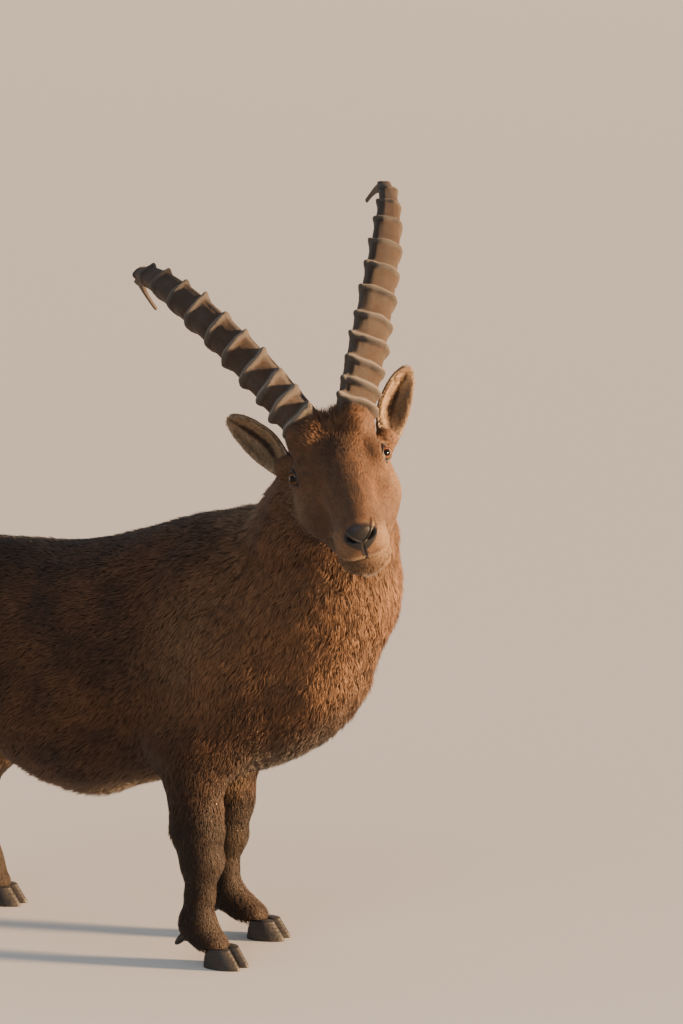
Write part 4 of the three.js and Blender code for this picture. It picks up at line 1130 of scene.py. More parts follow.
def coat_axis(name):
    """The start and end of the axis that a coat piece unwraps round, and the way where the unwrap begins."""
    if "ear" in name:
        root, along, length, opens, _ = ear_frame(LEFT if "left" in name else RIGHT)
        return from_head(root), from_head(root + along * length), HEAD_AXES @ opens
    if "face" in name:
        return from_head((-130, 0, -50)), from_head((210, 0, -50)), HEAD_AXES[:, 2]
    if "neck" in name:
        return point(420, 0, 600), point(590, -80, 940), point(-1, 0, 0.4)
    if "leg" in name:
        joints = LEGS[name.removeprefix("coat_leg_")]["joints"]
        return joints[-1][0], joints[1][0], point(1, 0, 0)
    if "tail" in name:
        return TAIL_TIP, TAIL_ROOT, point(-1, 0, 0)
    return point(-450, 0, 540), point(640, 0, 600), point(0, 0, 1)


# Horns, ears, eyes and hooves
HORN_STEP = 2.0
HORN_SIDES = 60
RING_DEPTH = 0.28
RING_APART = 4.6
KEEL_AT = -0.8
KEEL_HEIGHT = 2.6
EAR_ROWS = 44
EAR_HALF = 21
EAR_INSET = 1.6
EAR_CLOSENESS = 27
CORNEA = 1.3
IRIS_RADIUS = 11.0
EYE_SIDES = 64
CLAW_SIDES = 48
DEWCLAW = {"back": 20, "up": 52, "apart": 15, "length": 26, "radius": 9.5, "sides": 24}


def horn_direction(side, stop):
    """The way a horn runs at a stop along it, and the way out of its ridged front."""
    metres = max(stop, 0) / 1000
    rise, spread = (
        math.radians(start + (change + more * metres) * metres)
        for start, change, more in (HORN_PATH[side]["rise"], HORN_PATH[side]["spread"])
    )
    along = point(
        -math.cos(rise) * math.cos(spread), side * math.sin(spread), math.sin(rise) * math.cos(spread)
    )
    return along, point(math.sin(rise), 0, math.cos(rise))


def ridge_at(stop, knobs, side, c, s):
    """The height of the ridges round a ring, and how far it is on a ridge's upper line, where a highlight is
    painted, and on the ridge.
    """
    inner, outer = 0.5 - 0.5 * s, 0.5 + 0.5 * s
    angle = np.arctan2(s, c)
    height, line, ridge = np.zeros((3, len(c)))
    for i, at in enumerate(knobs):
        size = RIDGE_HEIGHT * (1 - 0.75 * (i / KNOBS) ** 1.8) * (1 + 0.13 * math.sin(3.7 * i + 2 * side))
        half = RIDGE_HALF * (1 - 0.4 * i / KNOBS)
        sweep = 6.0 * inner**3 - 11.0 * outer**2.2 + 1.5 * math.sin(2.4 * i + side)
        uneven = 1.1 * np.sin(3 * angle + 1.7 * i) + 0.7 * np.sin(7 * angle + 2.9 * i + side)
        off = (stop - at - sweep - uneven) / half
        rise = np.exp(-(np.abs(off) ** 2.6)) + 0.22 * bell(off, -1.2, 1.5)
        hook = 1 + 0.4 * bell(s, KEEL_AT, 0.2) + 0.12 * outer
        lump = 1 + 0.1 * np.sin(5 * angle + 2.1 * i)
        height = np.maximum(height, size * rise * hook * lump)
        line = np.maximum(line, bell(off, 0.35, 0.42))
        ridge = np.maximum(ridge, smoothstep(-1.3, -0.9, off) * smoothstep(1.5, 0.9, off))
    return height, line, ridge


def make_horn(side):
    """A horn with a ridge across its front at each year's growth, a keel, and fine rings between."""
    path = HORN_PATH[side]
    knobs = [path["knobs"][0] + path["knobs"][1] * i + path["knobs"][2] * i * i for i in range(KNOBS)]
    stops = np.arange(-HORN_SUNK, HORN_LENGTH, HORN_STEP)
    angles = full_turn(HORN_SIDES)
    c, s = np.cos(angles), np.sin(angles)
    outer_front = smoothstep(-0.5, 0.3, c)
    inner_front = 0.25 * outer_front + 0.75 * smoothstep(0.0, 0.5, c)
    on_front = np.where(s > 0, outer_front, inner_front)
    keel = bell(s, KEEL_AT, 0.13) * (c > 0.1)
    middle = path["root"] + horn_direction(side, 0)[0] * stops[0]
    rings, marks, grain = [], [], []
    for stop in stops:
        along, straight = horn_direction(side, stop)
        outward = np.cross(along, straight) * side
        front = straight * math.cos(HORN_TWIST) + outward * math.sin(HORN_TWIST)
        across = outward * math.cos(HORN_TWIST) - straight * math.sin(HORN_TWIST)
        t = max(stop, 0) / HORN_LENGTH
        taper = (1 - t ** HORN_TAPER[0]) ** HORN_TAPER[1]
        width = HORN_TIP_WIDTH + (HORN_WIDTH - HORN_TIP_WIDTH) * taper
        depth = HORN_TIP_WIDTH + (HORN_DEPTH - HORN_TIP_WIDTH) * taper
        height, line, ridge = ridge_at(stop, knobs, side, c, s)
        fine = RING_DEPTH * math.sin(2 * math.pi * stop / RING_APART + 1.3 * math.sin(stop / 17)) * (1 - t)
        grooves = 0.22 * (np.sin(23 * angles + 0.8 * math.sin(stop / 31)) + np.sin(13 * angles + stop / 47))
        fore = np.where(c > 0, 0.42 * np.abs(c) ** 0.55, 0.58 * c) - HORN_FRONT
        wide = squarer(s, 0.8) * (0.74 + 0.13 * (1 + c))
        rise = height * on_front + KEEL_HEIGHT * keel * taper + fine + grooves * taper
        lift = 1 + 2 * rise / depth
        x = wide * width * lift / 2 - 2.4 * smoothstep(-0.5, -1, s) * (1 - on_front) * taper
        y = fore * depth + (fore + HORN_FRONT) * depth * (lift - 1)
        rings.append(from_head(middle + x[:, None] * across + y[:, None] * front))
        marks.append(np.stack([line * on_front, np.full(HORN_SIDES, t), ridge * on_front + keel], axis=-1))
        grain.append(np.stack([c * 40, s * 40, np.full(HORN_SIDES, stop * 0.16)], axis=-1))
        middle = middle + horn_direction(side, stop + HORN_STEP / 2)[0] * HORN_STEP
    horn = lofted(f"horn_{SIDE_NAME[side]}_fine", rings)
    set_attribute(horn, "sheath", with_ends(marks))
    set_attribute(horn, "grain", with_ends(grain))
    return horn


ear_width = curve_through(
    [(EAR_SUNK, 0.3), (0, 0.52), (0.2, 0.8), (0.45, 1), (0.7, 0.88), (0.88, 0.64), (1, 0.28)]
)
ear_cup = curve_through([(EAR_SUNK, 0), (0.06, 0), (0.2, 0.55), (0.45, 1), (0.8, 0.75), (1, 0.2)])


def ear_frame(side):
    """An ear's root, the way to its tip and how far that is, the way it opens, and the way across it."""
    root = mirrored(EAR_ROOT, side)
    along = mirrored(EAR_TIP, side) - root
    length = np.linalg.norm(along)
    along = along / length
    opens = across_from(along, mirrored(EAR_OPENS, side))
    return root, along, length, opens, unit(np.cross(along, opens))


def make_ear(side):
    """The skin of an ear, a cup on a short stem, inset by its coat, and how each corner lies in it."""
    root, along, length, opens, across = ear_frame(side)
    rings, marks = [], []
    for t in np.linspace(EAR_SUNK, 0.985, EAR_ROWS):
        width = (EAR_WIDTH - 2 * EAR_INSET) * float(ear_width(t))
        cup = float(ear_cup(t))
        middle = root + along * t * length - opens * 8 * math.sin(math.pi * max(t, 0))
        u = np.linspace(-1, 1, EAR_HALF)
        arch = np.sqrt(np.maximum(1 - u * u, 0))
        back = -width * (0.1 + 0.34 * arch) + EAR_INSET * 0.6
        wall = EAR_WALL * 0.7 + 1.2 * arch
        front = width * 0.34 * arch * (1 - cup) + (back + wall) * cup
        front = np.maximum(front, back + EAR_WALL * 0.35)
        x = u * width / 2
        outer = middle + across * x[:, None] + opens * back[:, None]
        inner_x = x * (1 - EAR_WALL / width)
        inner = middle + across * inner_x[:, None] + opens * front[:, None]
        rings.append(from_head(np.concatenate([outer, inner[::-1]])))
        inside = np.concatenate([np.zeros(EAR_HALF), np.full(EAR_HALF, min(cup * 2, 1))])
        rim = np.concatenate([u, u[::-1]])
        marks.append(np.stack([inside, rim, np.full(2 * EAR_HALF, t)], axis=-1))
    return lofted(f"ear_{SIDE_NAME[side]}_skin", rings), with_ends(marks)


def ear_hair(side, ear, marks):
    """Hair on an ear: short behind, longer from its rims into the cup, dark along the cup's middle."""
    roots, out, carried = sown(ear, lambda places: np.full(len(places), EAR_CLOSENESS))
    inside, rim, along_ear = carried(marks).T
    keep = along_ear > EAR_HAIR_FROM
    roots, out, inside, rim, along_ear = (values[keep] for values in (roots, out, inside, rim, along_ear))
    _, along, _, _, across = ear_frame(side)
    along, across = HEAD_AXES @ along, HEAD_AXES @ across
    along_ear = np.maximum(along_ear, 0)
    cup = smoothstep(0.3, 0.7, inside)
    edge = np.abs(rim)
    inwards = -np.sign(rim) * (0.1 + 0.75 * cup * edge)
    runs = unit(along + inwards[:, None] * across)
    length = 6 + cup * (3 + 7 * edge) * (1 - 0.35 * along_ear)
    lift = 10 + cup * (8 + 10 * edge)
    hair = np.stack([length, lift, 0.9 + 0.2 * cup, edge], axis=-1)
    middle = smoothstep(0.12, 0.3, along_ear) * smoothstep(0.95, 0.75, along_ear)
    middle = middle * smoothstep(0.38, 0.08, edge)
    pale = cup * (0.86 + 0.14 * edge) * (1 - middle) + (1 - cup) * 0.15
    dark = cup * middle * 0.62 + (1 - cup) * (0.1 + 0.5 * smoothstep(0.8, 1.0, along_ear))
    rust = (1 - cup) * 0.4
    piece_marks = np.clip(np.stack([pale, dark, rust], axis=-1), 0, 1)
    tufts = tufts_of(roots, out, runs, hair, 0.35 * cup, waves(roots, 20, 12))
    return coat_piece(f"coat_ear_{SIDE_NAME[side]}", roots, out, piece_marks, *tufts)


def make_eye(side):
    """An eyeball whose front swells to the cornea, with its own flat places for the iris shader."""
    at, looks, _, _ = eye_axes(side)
    up = across_from(looks, HEAD_AXES[2])
    ahead = np.cross(up, looks) * side
    rings, marks = [], []
    for polar in np.concatenate([np.linspace(0.02, 0.9, 40), np.linspace(0.95, math.pi - 0.02, 22)]):
        flat = math.sin(polar) * EYE_RADIUS
        rise = CORNEA * float(smoothstep(IRIS_RADIUS + 1.5, 0, flat)) if polar < math.pi / 2 else 0
        turn = full_turn(EYE_SIDES)
        a, b = flat * np.cos(turn), flat * np.sin(turn)
        out = math.cos(polar) * EYE_RADIUS + rise
        ring = at + a[:, None] * ahead + b[:, None] * up + out * looks
        rings.append(from_head(ring))
        marks.append(np.stack([a, b, np.full(EYE_SIDES, out)], axis=-1))
    eye = lofted(f"eyeball_{SIDE_NAME[side]}", rings)
    return eye, with_ends(marks)


CLAW_RINGS = [
    # height share, back, front, width
    (0.0, -0.99, -0.015, 0.93),
    (0.03, -1.005, 0.0, 0.975),
    (0.1, -1.015, -0.005, 1.0),
    (0.3, -1.0, -0.065, 0.985),
    (0.55, -0.985, -0.15, 0.95),
    (0.8, -0.95, -0.235, 0.89),
    (1.0, -0.92, -0.3, 0.83),
]


def make_claw(name, leg, part):
    """One claw of a hoof, with a steep toe, a low heel and a flat sole."""
    forward, leftwards = leg["forward"], leg["leftwards"]
    offset = part * (HOOF_WIDTH / 2 + HOOF_SPREAD / 2)
    table = np.array(CLAW_RINGS)
    shares = np.concatenate([table[:3, 0], np.linspace(0.15, 1, 16)])
    rings = []
    for share in shares:
        back, front, wide = (np.interp(share, table[:, 0], table[:, k]) for k in (1, 2, 3))
        angle = full_turn(CLAW_SIDES)
        c, s = np.cos(angle), np.sin(angle)
        middle_x = (back + front) / 2 * HOOF_LENGTH
        half_x = (front - back) / 2 * HOOF_LENGTH
        half_y = HOOF_WIDTH / 2 * wide
        narrow = 1 - 0.42 * np.maximum(c, 0) ** 2
        ripple = 0.25 * math.sin(share * 34)
        x = middle_x + (half_x + ripple) * squarer(c, 0.8)
        y = offset + (half_y + ripple) * squarer(s, 0.8) * narrow - part * 2 * np.maximum(c, 0)
        ring = leg["toe"] + x[:, None] * forward + y[:, None] * leftwards
        ring[:, 2] = share * HOOF_HEIGHT
        rings.append(ring)
    return lofted(f"claw_{name}_fine", rings)


def make_dewclaw(name, leg, part):
    """A dewclaw: a blunt cone behind the fetlock that points back and down."""
    fetlock = leg["joints"][4][0]
    forward, leftwards = leg["forward"], leg["leftwards"]
    at = fetlock - forward * DEWCLAW["back"] + leftwards * part * DEWCLAW["apart"]
    at[2] = DEWCLAW["up"]
    out = unit(forward * -0.72 + point(0, 0, -0.7))
    third = np.cross(leftwards, out)
    angle = full_turn(DEWCLAW["sides"])
    rings = []
    for t in np.linspace(-0.35, 1, 16):
        size = np.interp(t, (-0.35, 0, 0.45, 0.85, 1), (0.8, 1, 0.9, 0.6, 0.2)) * DEWCLAW["radius"]
        ring = at + out * t * DEWCLAW["length"] + np.cos(angle)[:, None] * leftwards * size
        rings.append(ring + np.sin(angle)[:, None] * third * size * 0.8)
    return lofted(f"dewclaw_{name}_fine", rings)


# Materials


def srgb(red, green, blue):
    """A colour given as it is seen, from 0 to 255, as the light that the shaders count in."""
    seen = np.array([red, green, blue]) / 255
    light = np.where(seen <= 0.04045, seen / 12.92, ((seen + 0.055) / 1.055) ** 2.4)
    return (*light.tolist(), 1.0)


COLOURS = {
    "coat": srgb(93, 64, 43),
    "coat_shade": srgb(66, 46, 33),
    "dark": srgb(34, 26, 22),
    "pale": srgb(150, 124, 96),
    "rust": srgb(122, 76, 42),
    "pad": srgb(22, 21, 22),
    "horn_trough": srgb(44, 33, 26),
    "horn_side": srgb(80, 61, 46),
    "horn_grey": srgb(84, 79, 74),
    # The next colour is a painted highlight for the upper line of the horns' ridges.
    "horn_highlight": srgb(128, 121, 112),
    "hoof": srgb(29, 28, 28),
    "hoof_pale": srgb(58, 54, 50),
    "iris": srgb(114, 76, 40),
    "iris_dark": srgb(56, 34, 20),
    "pupil": srgb(8, 8, 10),
    "ear_inside": srgb(168, 152, 132),
    "ear_skin": srgb(84, 62, 50),
    "floor": srgb(226, 224, 220),
}


class Tree:
    """A short way to add and join shader nodes."""

    def __init__(self, tree):
        self.tree = tree

    def give(self, node, inputs):
        """Joins each input of a node to a socket, or sets it to a value."""
        for name, value in inputs.items():
            if isinstance(value, bpy.types.NodeSocket):
                self.tree.links.new(value, node.inputs[name])
            else:
                node.inputs[name].default_value = value

    def add(self, kind, inputs=None, **settings):
        node = self.tree.nodes.new(kind)
        for name, value in settings.items():
            setattr(node, name, value)
        self.give(node, inputs or {})
        return node

    def math(self, operation, a, b=0.0, clamp=False):
        return self.add("ShaderNodeMath", {0: a, 1: b}, operation=operation, use_clamp=clamp).outputs[0]

    def times(self, a, b):
        return self.math("MULTIPLY", a, b)

    def mix(self, share, a, b, blend="MIX"):
        inputs = {0: share, 6: a, 7: b}
        return self.add("ShaderNodeMix", inputs, data_type="RGBA", blend_type=blend).outputs[2]

    def shaded(self, colour, shade):
        """A colour made darker or lighter by a value."""
        grey = self.add("ShaderNodeCombineXYZ", {0: shade, 1: shade, 2: shade}).outputs[0]
        return self.mix(1.0, colour, grey, "MULTIPLY")

    def range(self, value, low, high, to_low=0.0, to_high=1.0):
        inputs = {"Value": value, "From Min": low, "From Max": high, "To Min": to_low, "To Max": to_high}
        return self.add("ShaderNodeMapRange", inputs, interpolation_type="SMOOTHSTEP").outputs[0]

    def noise(self, scale, detail=3.0, roughness=0.55, vector=None):
        inputs = {"Scale": scale, "Detail": detail, "Roughness": roughness}
        if vector is not None:
            inputs["Vector"] = vector
        return self.add("ShaderNodeTexNoise", inputs).outputs["Fac"]

    def place(self):
        return self.add("ShaderNodeTexCoord").outputs["Object"]

    def attribute(self, name):
        settings = {"attribute_name": name, "attribute_type": "GEOMETRY"}
        return self.add("ShaderNodeAttribute", **settings).outputs["Vector"]

    def parts(self, vector):
        return self.add("ShaderNodeSeparateXYZ", {0: vector}).outputs[:3]

    def softened(self, name, share):
        """The normal turned by a share towards a way stored on the mesh, so that dense hair shades as one."""
        frames = {"vector_type": "NORMAL", "convert_from": "OBJECT", "convert_to": "WORLD"}
        way = self.add("ShaderNodeVectorTransform", {0: self.attribute(name)}, **frames).outputs[0]
        own = self.add("ShaderNodeNewGeometry").outputs["Normal"]
        mixed = self.add("ShaderNodeMix", {0: share, 4: own, 5: way}, data_type="VECTOR")
        return self.add("ShaderNodeVectorMath", {0: mixed.outputs[1]}, operation="NORMALIZE").outputs[0]

    def bump(self, height, distance, strength=1.0):
        inputs = {"Height": height, "Distance": distance, "Strength": strength}
        return self.add("ShaderNodeBump", inputs).outputs[0]


def new_group(name, inputs, outputs):
    """A node group with named sockets, its tree, what it is given and what it gives."""
    group = bpy.data.node_groups.new(name, "ShaderNodeTree")
    for socket, default in inputs.items():
        made = group.interface.new_socket(socket, in_out="INPUT", socket_type="NodeSocketFloat")
        made.default_value = default
    for socket, kind in outputs.items():
        group.interface.new_socket(socket, in_out="OUTPUT", socket_type=kind)
    tree = Tree(group)
    return group, tree, tree.add("NodeGroupInput").outputs, tree.add("NodeGroupOutput")


def coat_colour_group():
    """The coat's colour from its marks, varied in large patches and small specks."""
    inputs = {"Pale": 0.0, "Dark": 0.0, "Rust": 0.0, "Draw": 0.5}
    group, tree, given, result = new_group("coat colour", inputs, {"Color": "NodeSocketColor"})
    place = tree.place()
    patches = tree.range(tree.noise(9.0, 4.0, 0.6, place), 0.36, 0.66)
    colour = tree.mix(patches, COLOURS["coat_shade"], COLOURS["coat"])
    small = tree.range(tree.noise(60.0, 2.0, 0.5, place), 0.4, 0.7)
    rust = tree.times(given["Rust"], tree.math("ADD", 0.55, tree.times(small, 0.6)))
    colour = tree.mix(rust, colour, COLOURS["rust"])
    colour = tree.mix(given["Pale"], colour, COLOURS["pale"])
    colour = tree.mix(given["Dark"], colour, COLOURS["dark"])
    value = tree.range(given["Draw"], 0.0, 1.0, 0.8, 1.24)
    shifted = tree.add("ShaderNodeHueSaturation", {"Value": value, "Color": colour}).outputs[0]
    tree.give(result, {"Color": shifted})
    return group


def speckle_group():
    """A small scatter of heights for short hair seen as a surface."""
    outputs = {"Height": "NodeSocketFloat"}
    group, tree, given, result = new_group("short hair relief", {"Scale": 500.0}, outputs)
    stretched = tree.add("ShaderNodeMapping", {"Vector": tree.place(), "Scale": (1.0, 1.0, 0.4)}).outputs[0]
    tree.give(result, {"Height": tree.noise(given["Scale"], 3.0, 0.5, stretched)})
    return group


def new_material(name):
    material = bpy.data.materials.new(name)
    material.use_nodes = True
    tree = Tree(material.node_tree)
    return material, tree, material.node_tree.nodes["Principled BSDF"]


def coat_colour(tree, colour_group, draw):
    """The coat's colour from the marks that skin and hair both carry."""
    pale, dark, rust = tree.parts(tree.attribute("mark"))
    inputs = {"Pale": pale, "Dark": dark, "Rust": rust, "Draw": draw}
    return tree.add("ShaderNodeGroup", inputs, node_tree=colour_group).outputs[0]


HAIR_SOFTNESS = 0.68


def coat_material(colour_group):
    """The hair: dark at its root as painted shade deep in the coat, paler towards its tip, each tuft a little
    unlike the next.
    """
    material, tree, shader = new_material("coat hair")
    along, across, draw = tree.parts(tree.attribute("hair"))
    colour = coat_colour(tree, colour_group, draw)
    # Painted shade: the hair is drawn darker towards its root, for the shade deep inside the coat.
    shade = tree.range(along, 0.1, 0.8, 0.6, 1.06)
    strands = tree.math("SINE", tree.math("ADD", tree.times(across, 7.0), tree.times(draw, 40.0)))
    shade = tree.times(shade, tree.range(strands, -1.0, 1.0, 0.86, 1.08))
    tip = tree.times(tree.range(along, 0.5, 1.0), tree.range(draw, 0.5, 1.0, 0.0, 0.22))
    hair = tree.mix(tip, tree.shaded(colour, shade), COLOURS["pale"])
    tree.give(shader, {"Base Color": hair, "Normal": tree.softened("skinward", HAIR_SOFTNESS)})
    tree.give(shader, {"Roughness": 0.66, "Specular IOR Level": 0.26, "Sheen Weight": 0.2})
    return material


def skin_material(colour_group, relief_group):
    """The skin under the hair, in the coat's own colours made darker as painted shade between the tufts, and
    the bare nose, lids and lips.
    """
    material, tree, shader = new_material("skin under coat")
    pad, rim, lips = tree.parts(tree.attribute("bare"))
    fine = tree.noise(900.0, 2.0, 0.6, tree.place())
    # Painted shade: the skin takes the coat's colour made darker, for the shade that lies between the tufts.
    ground = tree.shaded(coat_colour(tree, colour_group, 0.3), tree.range(fine, 0.3, 0.7, 0.45, 0.8))
    bare = tree.math("MAXIMUM", pad, tree.math("MAXIMUM", rim, lips), clamp=True)
    surface = tree.mix(bare, ground, COLOURS["pad"])
    cells = tree.add("ShaderNodeTexVoronoi", {"Vector": tree.place(), "Scale": 520.0}, feature="F1")
    pebbles = tree.times(cells.outputs["Distance"], tree.times(pad, 0.4))
    relief = tree.add("ShaderNodeGroup", {"Scale": 700.0}, node_tree=relief_group).outputs[0]
    height = tree.math("ADD", tree.times(relief, tree.math("SUBTRACT", 1.0, bare)), pebbles)
    rough = tree.range(bare, 0.0, 1.0, 0.75, 0.42)
    tree.give(shader, {"Base Color": surface, "Normal": tree.bump(height, 0.0009, 0.8), "Roughness": rough})
    tree.give(shader, {"Specular IOR Level": 0.4})
    return material


def horn_material():
    """Horn: brown fibrous troughs, grey ridges with a painted highlight along their upper line, greyer
    towards the tip.
    """
    material, tree, shader = new_material("horn sheath")
    line, along, ridge = tree.parts(tree.attribute("sheath"))
    grain = tree.attribute("grain")
    place = tree.place()
    fibres = tree.noise(1.1, 5.0, 0.65, grain)
    threads = tree.noise(3.2, 3.0, 0.6, grain)
    patches = tree.range(tree.noise(26.0, 4.0, 0.6, place), 0.35, 0.68)
    trough = tree.mix(tree.range(fibres, 0.34, 0.66), COLOURS["horn_trough"], COLOURS["horn_side"])
    trough = tree.mix(tree.times(patches, 0.35), trough, COLOURS["horn_grey"])
    ridged = tree.math("MULTIPLY", ridge, tree.range(fibres, 0.25, 0.55, 0.55, 1.0), clamp=True)
    colour = tree.mix(ridged, trough, COLOURS["horn_grey"])
    # Painted highlight: each ridge's upper line is drawn pale, where it would catch the light from above.
    wear_and_highlight = tree.times(tree.range(line, 0.2, 0.9), tree.range(threads, 0.3, 0.6, 0.55, 1.0))
    colour = tree.mix(wear_and_highlight, colour, COLOURS["horn_highlight"])
    colour = tree.mix(tree.range(along, 0.6, 1.0, 0.0, 0.6), colour, COLOURS["horn_grey"])
    colour = tree.shaded(colour, tree.range(threads, 0.36, 0.62, 0.7, 1.12))
    height = tree.math("ADD", tree.times(fibres, 0.8), tree.times(threads, 0.6))
    height = tree.math("ADD", height, tree.times(tree.noise(700.0, 3.0, 0.6, place), 0.35))
    rough = tree.range(fibres, 0.3, 0.7, 0.55, 0.78)
    tree.give(shader, {"Base Color": colour, "Normal": tree.bump(height, 0.0032, 0.9), "Roughness": rough})
    tree.give(shader, {"Specular IOR Level": 0.4})
    return material


def hoof_material():
    """Dark hoof horn, streaked, and worn paler near the ground."""
    material, tree, shader = new_material("hoof horn")
    place = tree.place()
    up = tree.parts(place)[2]
    streaks = tree.noise(180.0, 4.0, 0.65, place)
    wear_and_highlight = tree.times(tree.range(up, 0.012, 0.0), tree.range(streaks, 0.4, 0.65))
    colour = tree.mix(wear_and_highlight, COLOURS["hoof"], COLOURS["hoof_pale"])
    colour = tree.mix(tree.range(streaks, 0.35, 0.7, 0.0, 0.25), colour, COLOURS["hoof_pale"])
    rough = tree.range(streaks, 0.3, 0.7, 0.38, 0.62)
    tree.give(shader, {"Base Color": colour, "Normal": tree.bump(streaks, 0.0008, 0.6), "Roughness": rough})
    return material


PUPIL_HALF = (7.6, 6.0)


def eye_material():
    """The amber iris with its level dark pupil, darker at its edge, under a wet surface."""
    material, tree, shader = new_material("eye")
    a, b, out = tree.parts(tree.attribute("look"))
    radius = tree.math("SQRT", tree.math("ADD", tree.times(a, a), tree.times(b, b)))
    turn = tree.math("ARCTAN2", b, a)
    rays = tree.add("ShaderNodeCombineXYZ", {0: tree.times(turn, 3.0), 1: tree.times(radius, 0.12)})
    grain = tree.noise(4.5, 4.0, 0.7, rays.outputs[0])
    iris = tree.mix(tree.range(grain, 0.32, 0.66), COLOURS["iris_dark"], COLOURS["iris"])
    iris = tree.mix(tree.range(radius, IRIS_RADIUS * 0.72, IRIS_RADIUS), iris, COLOURS["iris_dark"])
    level = tree.math("POWER", tree.math("ABSOLUTE", tree.math("DIVIDE", a, PUPIL_HALF[0])), 3.0)
    tall = tree.math("POWER", tree.math("ABSOLUTE", tree.math("DIVIDE", b, PUPIL_HALF[1])), 2.2)
    pupil = tree.range(tree.math("ADD", level, tall), 1.15, 0.85)
    colour = tree.mix(pupil, iris, COLOURS["pupil"])
    white = tree.range(radius, IRIS_RADIUS - 0.3, IRIS_RADIUS + 0.5)
    colour = tree.mix(white, colour, COLOURS["pad"])
    back = tree.range(out, 4.0, 2.0)
    colour = tree.mix(back, colour, COLOURS["pad"])
    tree.give(shader, {"Base Color": colour, "Roughness": 0.06, "Specular IOR Level": 0.14})
    tree.give(shader, {"Coat Weight": 0.12, "Coat Roughness": 0.03})
    return material


def ear_material(colour_group, relief_group):
    """The ear: brown outside, with a pale cup that has a dark stripe along its middle."""
    material, tree, shader = new_material("ear skin")
    inside, rim, _ = tree.parts(tree.attribute("ear"))
    colour = tree.add("ShaderNodeGroup", {"Rust": 0.35, "Draw": 0.35}, node_tree=colour_group).outputs[0]
    fine = tree.noise(800.0, 2.0, 0.6, tree.place())
    stripes = tree.range(tree.math("ABSOLUTE", rim), 0.12, 0.4)
    cup = tree.mix(stripes, COLOURS["dark"], COLOURS["ear_inside"])
    cup = tree.mix(tree.range(fine, 0.4, 0.7, 0.0, 0.5), cup, COLOURS["ear_skin"])
    surface = tree.mix(inside, colour, cup)
    relief = tree.add("ShaderNodeGroup", {"Scale": 700.0}, node_tree=relief_group).outputs[0]
    tree.give(shader, {"Base Color": surface, "Normal": tree.bump(relief, 0.0008, 0.7), "Roughness": 0.75})
    return material


def floor_material():
    material, tree, shader = new_material("studio floor")
    tree.give(shader, {"Base Color": COLOURS["floor"], "Roughness": 0.9})
    return material


# The camera, the floor and the lights
PHOTO_AZIMUTH = math.radians(27)
PHOTO_ELEVATION = math.radians(8)
PHOTO_DISTANCE = 7.0
PHOTO_TARGET = point(540, 50, 832.5)
PHOTO_FOCAL = 3836
PHOTO_HEIGHT = 1024
SENSOR = 36.0
LIT_PLACE = Vector((0.2, 0, 0.6))
FLOOR_HALF = 400


def make_camera():
    """The photo's view of the animal."""
    level = math.cos(PHOTO_ELEVATION)
    back = Vector(
        (math.sin(PHOTO_AZIMUTH) * level, -math.cos(PHOTO_AZIMUTH) * level, math.sin(PHOTO_ELEVATION))
    )
    camera = linked(bpy.data.objects.new("camera", bpy.data.cameras.new("camera")))
    camera.data.sensor_width = SENSOR
    camera.data.lens = PHOTO_FOCAL / PHOTO_HEIGHT * SENSOR
    camera.data.clip_end = 1000
    camera.location = Vector(placed(PHOTO_TARGET)) + back * PHOTO_DISTANCE
    camera.rotation_euler = back.to_track_quat("Z", "Y").to_euler()
    bpy.context.scene.camera = camera


def add_light(name, kind, energy, colour, place, **settings):
    """A light at a place, in metres, that shines onto the animal."""
    light = linked(bpy.data.objects.new(name, bpy.data.lights.new(name, kind)))
    light.data.energy = energy
    light.data.color = colour
    for key, value in settings.items():
        setattr(light.data, key, value)
    light.location = Vector(place)
    light.rotation_euler = (light.location - LIT_PLACE).to_track_quat("Z", "Y").to_euler()


def make_studio():
    """A pale floor and world, a warm low sun and a weak fill from the camera's side."""
    world = bpy.data.worlds.new("studio")
    world.use_nodes = True
    background = world.node_tree.nodes["Background"]
    Tree(world.node_tree).give(background, {"Color": (0.9, 0.94, 1.0, 1.0), "Strength": 0.42})
    bpy.context.scene.world = world
    corners = FLOOR_HALF * np.array([(-1, -1, 0), (1, -1, 0), (1, 1, 0), (-1, 1, 0)])
    floor = new_mesh("floor", corners / MM + ORIGIN, [(0, 1, 2, 3)])
    floor.data.materials.append(floor_material())
    add_light("key", "SUN", 26.0, (1.0, 0.61, 0.31), (6.6, 1.95, 1.24), angle=math.radians(7))
    add_light("fill", "AREA", 60, (0.95, 0.97, 1.0), (0.5, -4.6, 3.2), size=3.0)


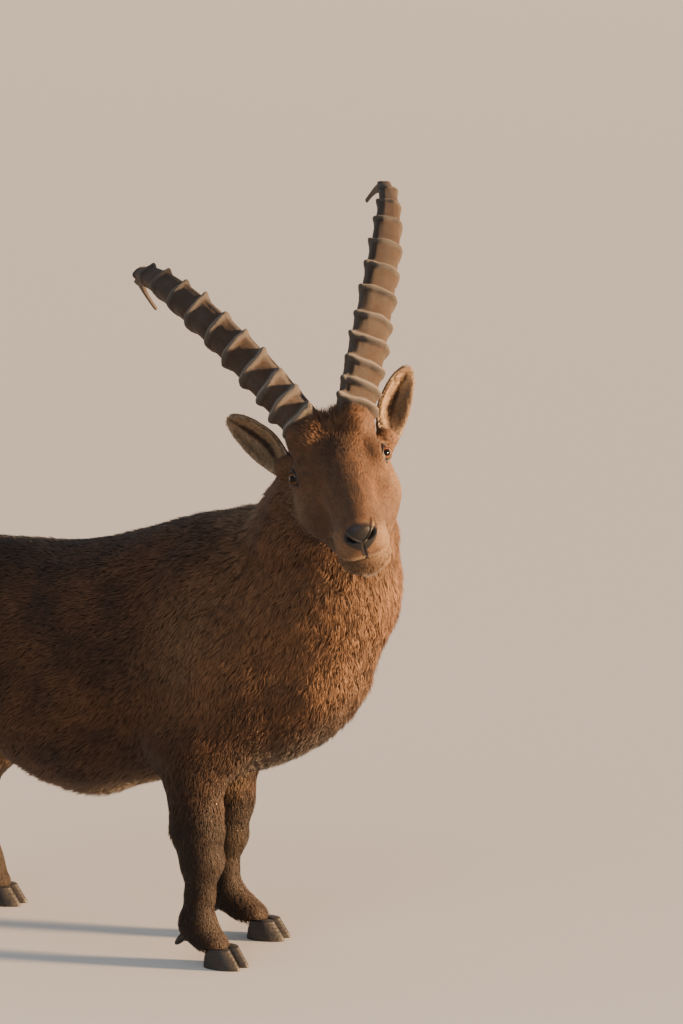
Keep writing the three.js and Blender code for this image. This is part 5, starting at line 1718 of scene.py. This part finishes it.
def add_coat(skin, hair):
    """The coat of the body and head: tufts sown over the skin, in named pieces."""
    roots, out, _ = sown(skin, hair_closeness)
    keep = ~bare_places(roots)
    roots, out = roots[keep], out[keep]
    runs, values = lie_at(roots)
    neck, face, leg = neck_share(roots), face_share(roots), leg_share(roots)
    swirl = np.stack([waves(roots, 90, 3), waves(roots, 90, 4), waves(roots, 90, 5)], axis=-1)
    runs = unit(runs + (0.2 - 0.1 * face)[:, None] * swirl)
    values[:, 0] *= 1 + 0.18 * waves(roots, 60, 6)
    runs, values = parted_round_eyes(roots, runs, values)
    clumped = (0.34 + 0.14 * neck) * (1 - 0.6 * face) * (1 - 0.6 * leg)
    curl = waves(roots, 26, 8) * (0.6 + 0.8 * neck)
    tufts = (roots, out, markings(roots), *tufts_of(roots, out, runs, values, clumped, curl))
    names = coat_parts(roots)
    for name in sorted(set(names)):
        piece = coat_piece(name, *(values[names == name] for values in tufts))
        dress(piece, hair)


def build():
    """The whole scene: stage, skin, horns, ears, eyes, claws and coat."""
    make_camera()
    make_studio()
    colour_group, relief_group = coat_colour_group(), speckle_group()
    hair, under = coat_material(colour_group), skin_material(colour_group, relief_group)
    flesh_nodes = ["torso", "neck", "head", "tail", *(f"leg_{name}" for name in LEGS)]
    skin = make_skin()
    dress(skin, under, flesh_nodes)
    horn_finish, hoof_finish, eye_finish = horn_material(), hoof_material(), eye_material()
    ear_finish = ear_material(colour_group, relief_group)
    for side in SIDES:
        name = SIDE_NAME[side]
        dress(make_horn(side), horn_finish, [f"horn_{name}"])
        ear, marks = make_ear(side)
        set_attribute(ear, "ear", marks)
        dress(ear, ear_finish, [f"ear_{name}"])
        dress(ear_hair(side, ear, marks), hair)
        eye, marks = make_eye(side)
        set_attribute(eye, "look", marks)
        dress(eye, eye_finish, [f"eye_{name}"])
    for place, leg in LEGS.items():
        for part in SIDES:
            name = f"{place}_{'outer' if part == leg['side'] else 'inner'}"
            dress(make_claw(name, leg, part), hoof_finish, [f"claw_{name}"])
            dress(make_dewclaw(name, leg, part), hoof_finish, [f"dewclaw_{name}"])
    add_coat(skin, hair)


build()
